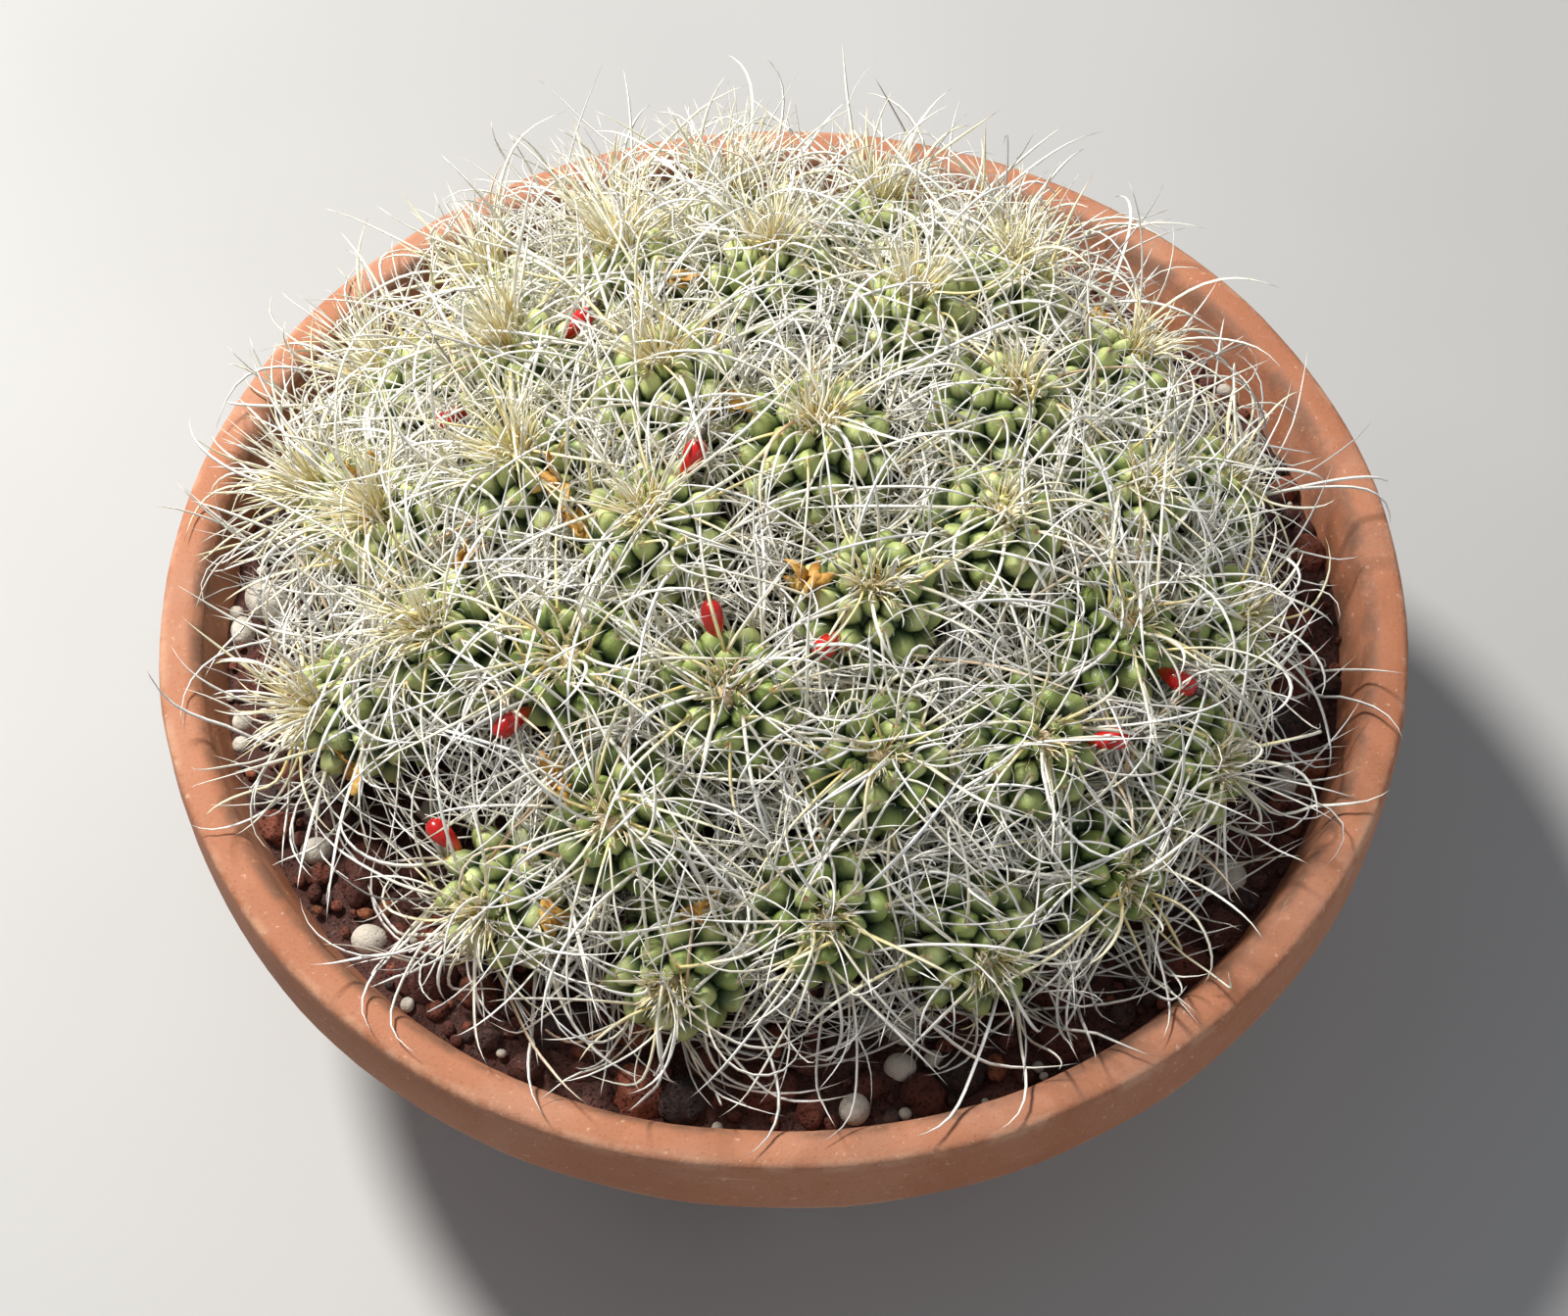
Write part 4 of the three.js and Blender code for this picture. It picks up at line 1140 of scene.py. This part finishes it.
def make_dried_flowers(material):
    """Tufts of shrivelled petals that lie on the heads' sides."""
    random = np.random.default_rng(SEED + 77)
    parts = []
    for number, degrees, depth in DRIED_FLOWERS:
        k = number - 1
        turn = math.radians(degrees)
        radius = float(outline(k, depth)) + 1.0
        foot = np.array([radius * math.cos(turn), radius * math.sin(turn), -depth])
        outward = unit(foot - [0, 0, -WIDEST_DEPTH])
        foot, outward = TIP[k] + TURN[k] @ foot, TURN[k] @ outward
        lying = unit(np.cross(outward, random.normal(size=3)))
        for _ in range(random.integers(4, 7)):
            heading = lying + 0.5 * random.normal(size=3) + 0.35 * outward
            start = foot + 0.8 * random.normal(size=3)
            facing = np.cross(heading, outward + 0.6 * random.normal(size=3))
            parts.append(petal(
                start, heading, facing,
                random.uniform(8, 14), random.uniform(3.0, 5.2), random.normal(0.4, 0.9), random))
    make_piece("dried_flowers", join(parts), material, [])


# Gravel: a rough bed under loose lava stones
def make_bed(material):
    """The gravel under the loose stones, rough on top, down to the pot's floor."""
    sides, rings = POT_SIDES, 44
    around = circle(round_turn(sides))
    flat = (np.linspace(0, 1, rings + 1)[1:] * (inner_radius(SOIL_TOP) - WALL_GAP))[:, None, None] * around
    rough = 1.7 * lumps(flat, 17, SEED + 3, 4) - 1.6
    flat[..., 2] = SOIL_TOP + np.clip(rough, -4.5, 2.4)
    low = [(inner_radius(z) - WALL_GAP) * around + [0, 0, z] for z in (110, 80, 50, POT_FLOOR + 0.5)]
    middles = [[0, 0, SOIL_TOP - 1.5], [0, 0, POT_FLOOR + 0.5]]
    points = np.concatenate([flat.reshape(-1, 3), np.array(low).reshape(-1, 3), middles])
    m = rings + len(low)
    tris = np.concatenate([fan(0, sides, m * sides), fan((m - 1) * sides, sides, m * sides + 1, flip=True)])
    tint = np.tile([0.35, 0.35, 0, 1.0], (len(points), 1))
    data = chunk(points, inside_out(tube(m, sides)[0]), tris, tint=tint)
    make_piece("gravel_bed", data, material, ["soil"], (), "rock")


def ball(levels):
    """A ball of even three-sided faces."""
    g = (1 + 5 ** 0.5) / 2
    corners = [
        [-1, g, 0], [1, g, 0], [-1, -g, 0], [1, -g, 0], [0, -1, g], [0, 1, g], [0, -1, -g], [0, 1, -g],
        [g, 0, -1], [g, 0, 1], [-g, 0, -1], [-g, 0, 1],
    ]
    faces = [
        [0, 11, 5], [0, 5, 1], [0, 1, 7], [0, 7, 10], [0, 10, 11], [1, 5, 9], [5, 11, 4], [11, 10, 2],
        [10, 7, 6], [7, 1, 8], [3, 9, 4], [3, 4, 2], [3, 2, 6], [3, 6, 8], [3, 8, 9], [4, 9, 5], [2, 4, 11],
        [6, 2, 10], [8, 6, 7], [9, 8, 1],
    ]
    points = [unit(c) for c in corners]
    for _ in range(levels):
        middles, split = {}, []

        def middle(a, b):
            key = (min(a, b), max(a, b))
            if key not in middles:
                points.append(unit(points[a] + points[b]))
                middles[key] = len(points) - 1
            return middles[key]

        for a, b, c in faces:
            ab, bc, ca = middle(a, b), middle(b, c), middle(c, a)
            split += [[a, ab, ca], [b, bc, ab], [c, ca, bc], [ab, bc, ca]]
        faces = split
    return np.array(points), np.array(faces)


BALLS = {levels: ball(levels) for levels in (1, 2, 3)}


# Stones, largest first: how many, least and greatest radius, least reach from the middle, fineness
STONE_PLANS = [(46, 7.0, 11, 152, 3), (150, 4.0, 7.0, 140, 2), (260, 2.2, 4.0, 120, 1), (200, 1.2, 2.2, 145, 1)]
PEBBLE_SHARE = 0.16
LARGEST_PEBBLE = 8


def stone_form(levels, random, pebble):
    """A unit stone: knobbly and pitted lava, or a smooth pebble."""
    points, faces = BALLS[levels]
    if pebble:
        shape = 1 + 0.10 * lumps(points, 2.6, int(random.integers(1e6)), 1)
    else:
        shape = 1 + 0.15 * lumps(points, 2.1, int(random.integers(1e6)), 5)
        pits = unit(random.normal(size=(14, 3)))
        near = (points @ pits.T).max(1)
        shape -= 0.15 * smooth_step(near, 0.93, 0.985)
        flats = unit(random.normal(size=(5, 3)))
        reach = points @ flats.T * shape[:, None]
        cut = np.clip((reach - 0.80) / np.maximum(points @ flats.T, 0.3), 0, None).max(1)
        shape -= 0.75 * cut
    return points * shape[:, None] * random.uniform(0.78, 1.15, 3), faces


def head_above(x, y, low):
    """How far a point may rise before it meets a head."""
    for z in np.arange(low, low + 16, 1.0):
        p = np.array([x, y, z])
        rel = p - TIP
        depth = -dot(rel, AXIS)
        rho = np.linalg.norm(rel + depth[:, None] * AXIS, axis=1)
        near = [j for j in range(HEADS) if 0 < depth[j] < 60 and rho[j] < 40]
        if any(rho[j] < (float(outline(j, depth[j])) if depth[j] < 45 else 12) + 0.6 for j in near):
            return z
    return low + 16


def make_stones(material):
    random = np.random.default_rng(SEED + 9)
    parts, placed = [], []
    wall = inner_radius(SOIL_TOP)
    for count, small, large, nearest, levels in STONE_PLANS:
        made = tries = 0
        while made < count and tries < count * 30:
            tries += 1
            size = random.uniform(small, large)
            reach = math.sqrt(random.uniform(nearest ** 2, (wall - 0.86 * size - 1.2) ** 2))
            turn = random.uniform(0, 2 * math.pi)
            x, y = reach * math.cos(turn), reach * math.sin(turn)
            if any((x - a) ** 2 + (y - b) ** 2 < (0.80 * (size + c)) ** 2 for a, b, c in placed):
                continue
            top = min(head_above(x, y, SOIL_TOP - 2) - 0.8, SOIL_TOP + 0.62 * size)
            z = top - 0.85 * size
            if top < SOIL_TOP + 0.5:
                continue
            placed.append((x, y, size))
            pebble = random.uniform() < PEBBLE_SHARE and size < LARGEST_PEBBLE
            points, faces = stone_form(levels, random, pebble)
            spin = turn_to(unit(random.normal(size=3) + [0, 0, 1.5]))
            points = points @ spin.T * size * [1, 1, 0.85] + [x, y, z]
            outer = np.linalg.norm(points[:, :2], axis=1)
            room_left = np.minimum(1, (wall - 0.7) / outer)
            points[:, :2] *= room_left[:, None]
            kind = random.beta(1.4, 1.7)
            tint = np.tile([kind, random.uniform(0.3, 1), float(pebble), 1], (len(points), 1))
            parts.append(chunk(points, [], faces, tint=tint))
            made += 1
    make_piece("gravel_stones", join(parts), material, ["soil"], (), "rock")


# Stage, light and camera, in metres
FLOOR_HALF = 4.0
CAMERA_ELEVATION = math.radians(57)
CAMERA_DISTANCE = 1.05
CAMERA_TARGET = Vector((0.0, 0.0, 0.112))
CAMERA_LENS = 73


def aim(thing, place, target):
    thing.location = place
    thing.rotation_euler = (target - place).to_track_quat("-Z", "Y").to_euler()
    bpy.context.scene.collection.objects.link(thing)


def make_floor():
    s = Shader("floor")
    place = s.place()
    color = s.mix(s.spread(s.noise(place, 2.0, 3), 0.3, 0.7), (0.385, 0.380, 0.372), (0.425, 0.42, 0.412))
    mesh = bpy.data.meshes.new("floor")
    corners = [(x * FLOOR_HALF, y * FLOOR_HALF, 0) for x, y in ((-1, -1), (1, -1), (1, 1), (-1, 1))]
    mesh.from_pydata(corners, [], [(0, 1, 2, 3)])
    mesh.materials.append(s.finish(color, 0.6, s.bump(s.noise(place, 300, 2), 0.0002, strength=0.1)))
    floor = bpy.data.objects.new("floor", mesh)
    bpy.context.scene.collection.objects.link(floor)


def make_light(name, place, target, size, power, color=(1, 1, 1)):
    light = bpy.data.lights.new(name, "AREA")
    light.shape = "DISK"
    light.size = size
    light.energy = power
    light.color = color
    aim(bpy.data.objects.new(name, light), Vector(place), Vector(target))


def make_camera():
    camera = bpy.data.objects.new("camera", bpy.data.cameras.new("camera"))
    camera.data.lens = CAMERA_LENS
    camera.data.sensor_width = 36
    away = Vector((0, -math.cos(CAMERA_ELEVATION), math.sin(CAMERA_ELEVATION)))
    aim(camera, CAMERA_TARGET + CAMERA_DISTANCE * away, CAMERA_TARGET)
    bpy.context.scene.camera = camera


def make_world():
    world = bpy.data.worlds.new("studio")
    world.use_nodes = True
    background = world.node_tree.nodes["Background"]
    background.inputs["Color"].default_value = (0.86, 0.92, 1.0, 1)
    background.inputs["Strength"].default_value = 0.30
    bpy.context.scene.world = world


make_floor()
make_world()
make_light("key", (-0.85, 0.70, 1.70), (0, 0, 0.15), 0.34, 64, (1.0, 0.98, 0.94))
make_light("fill", (1.3, -1.5, 1.1), (0, 0, 0.1), 1.4, 7, (0.93, 0.96, 1.0))
bpy.context.scene.view_settings.view_transform = "Standard"
make_camera()

make_pot(terracotta())
stone = lava_stone()
make_bed(stone)
make_stones(stone)
skin = cactus_skin()
spine = spine_material()
for k in range(HEADS):
    make_spines(k, make_head(k, skin), spine)
berry = berry_material()
for number, (foot, direction) in enumerate(fruit_places(), 1):
    make_fruit(number, foot, direction, berry)
make_dried_flowers(dried_petals())
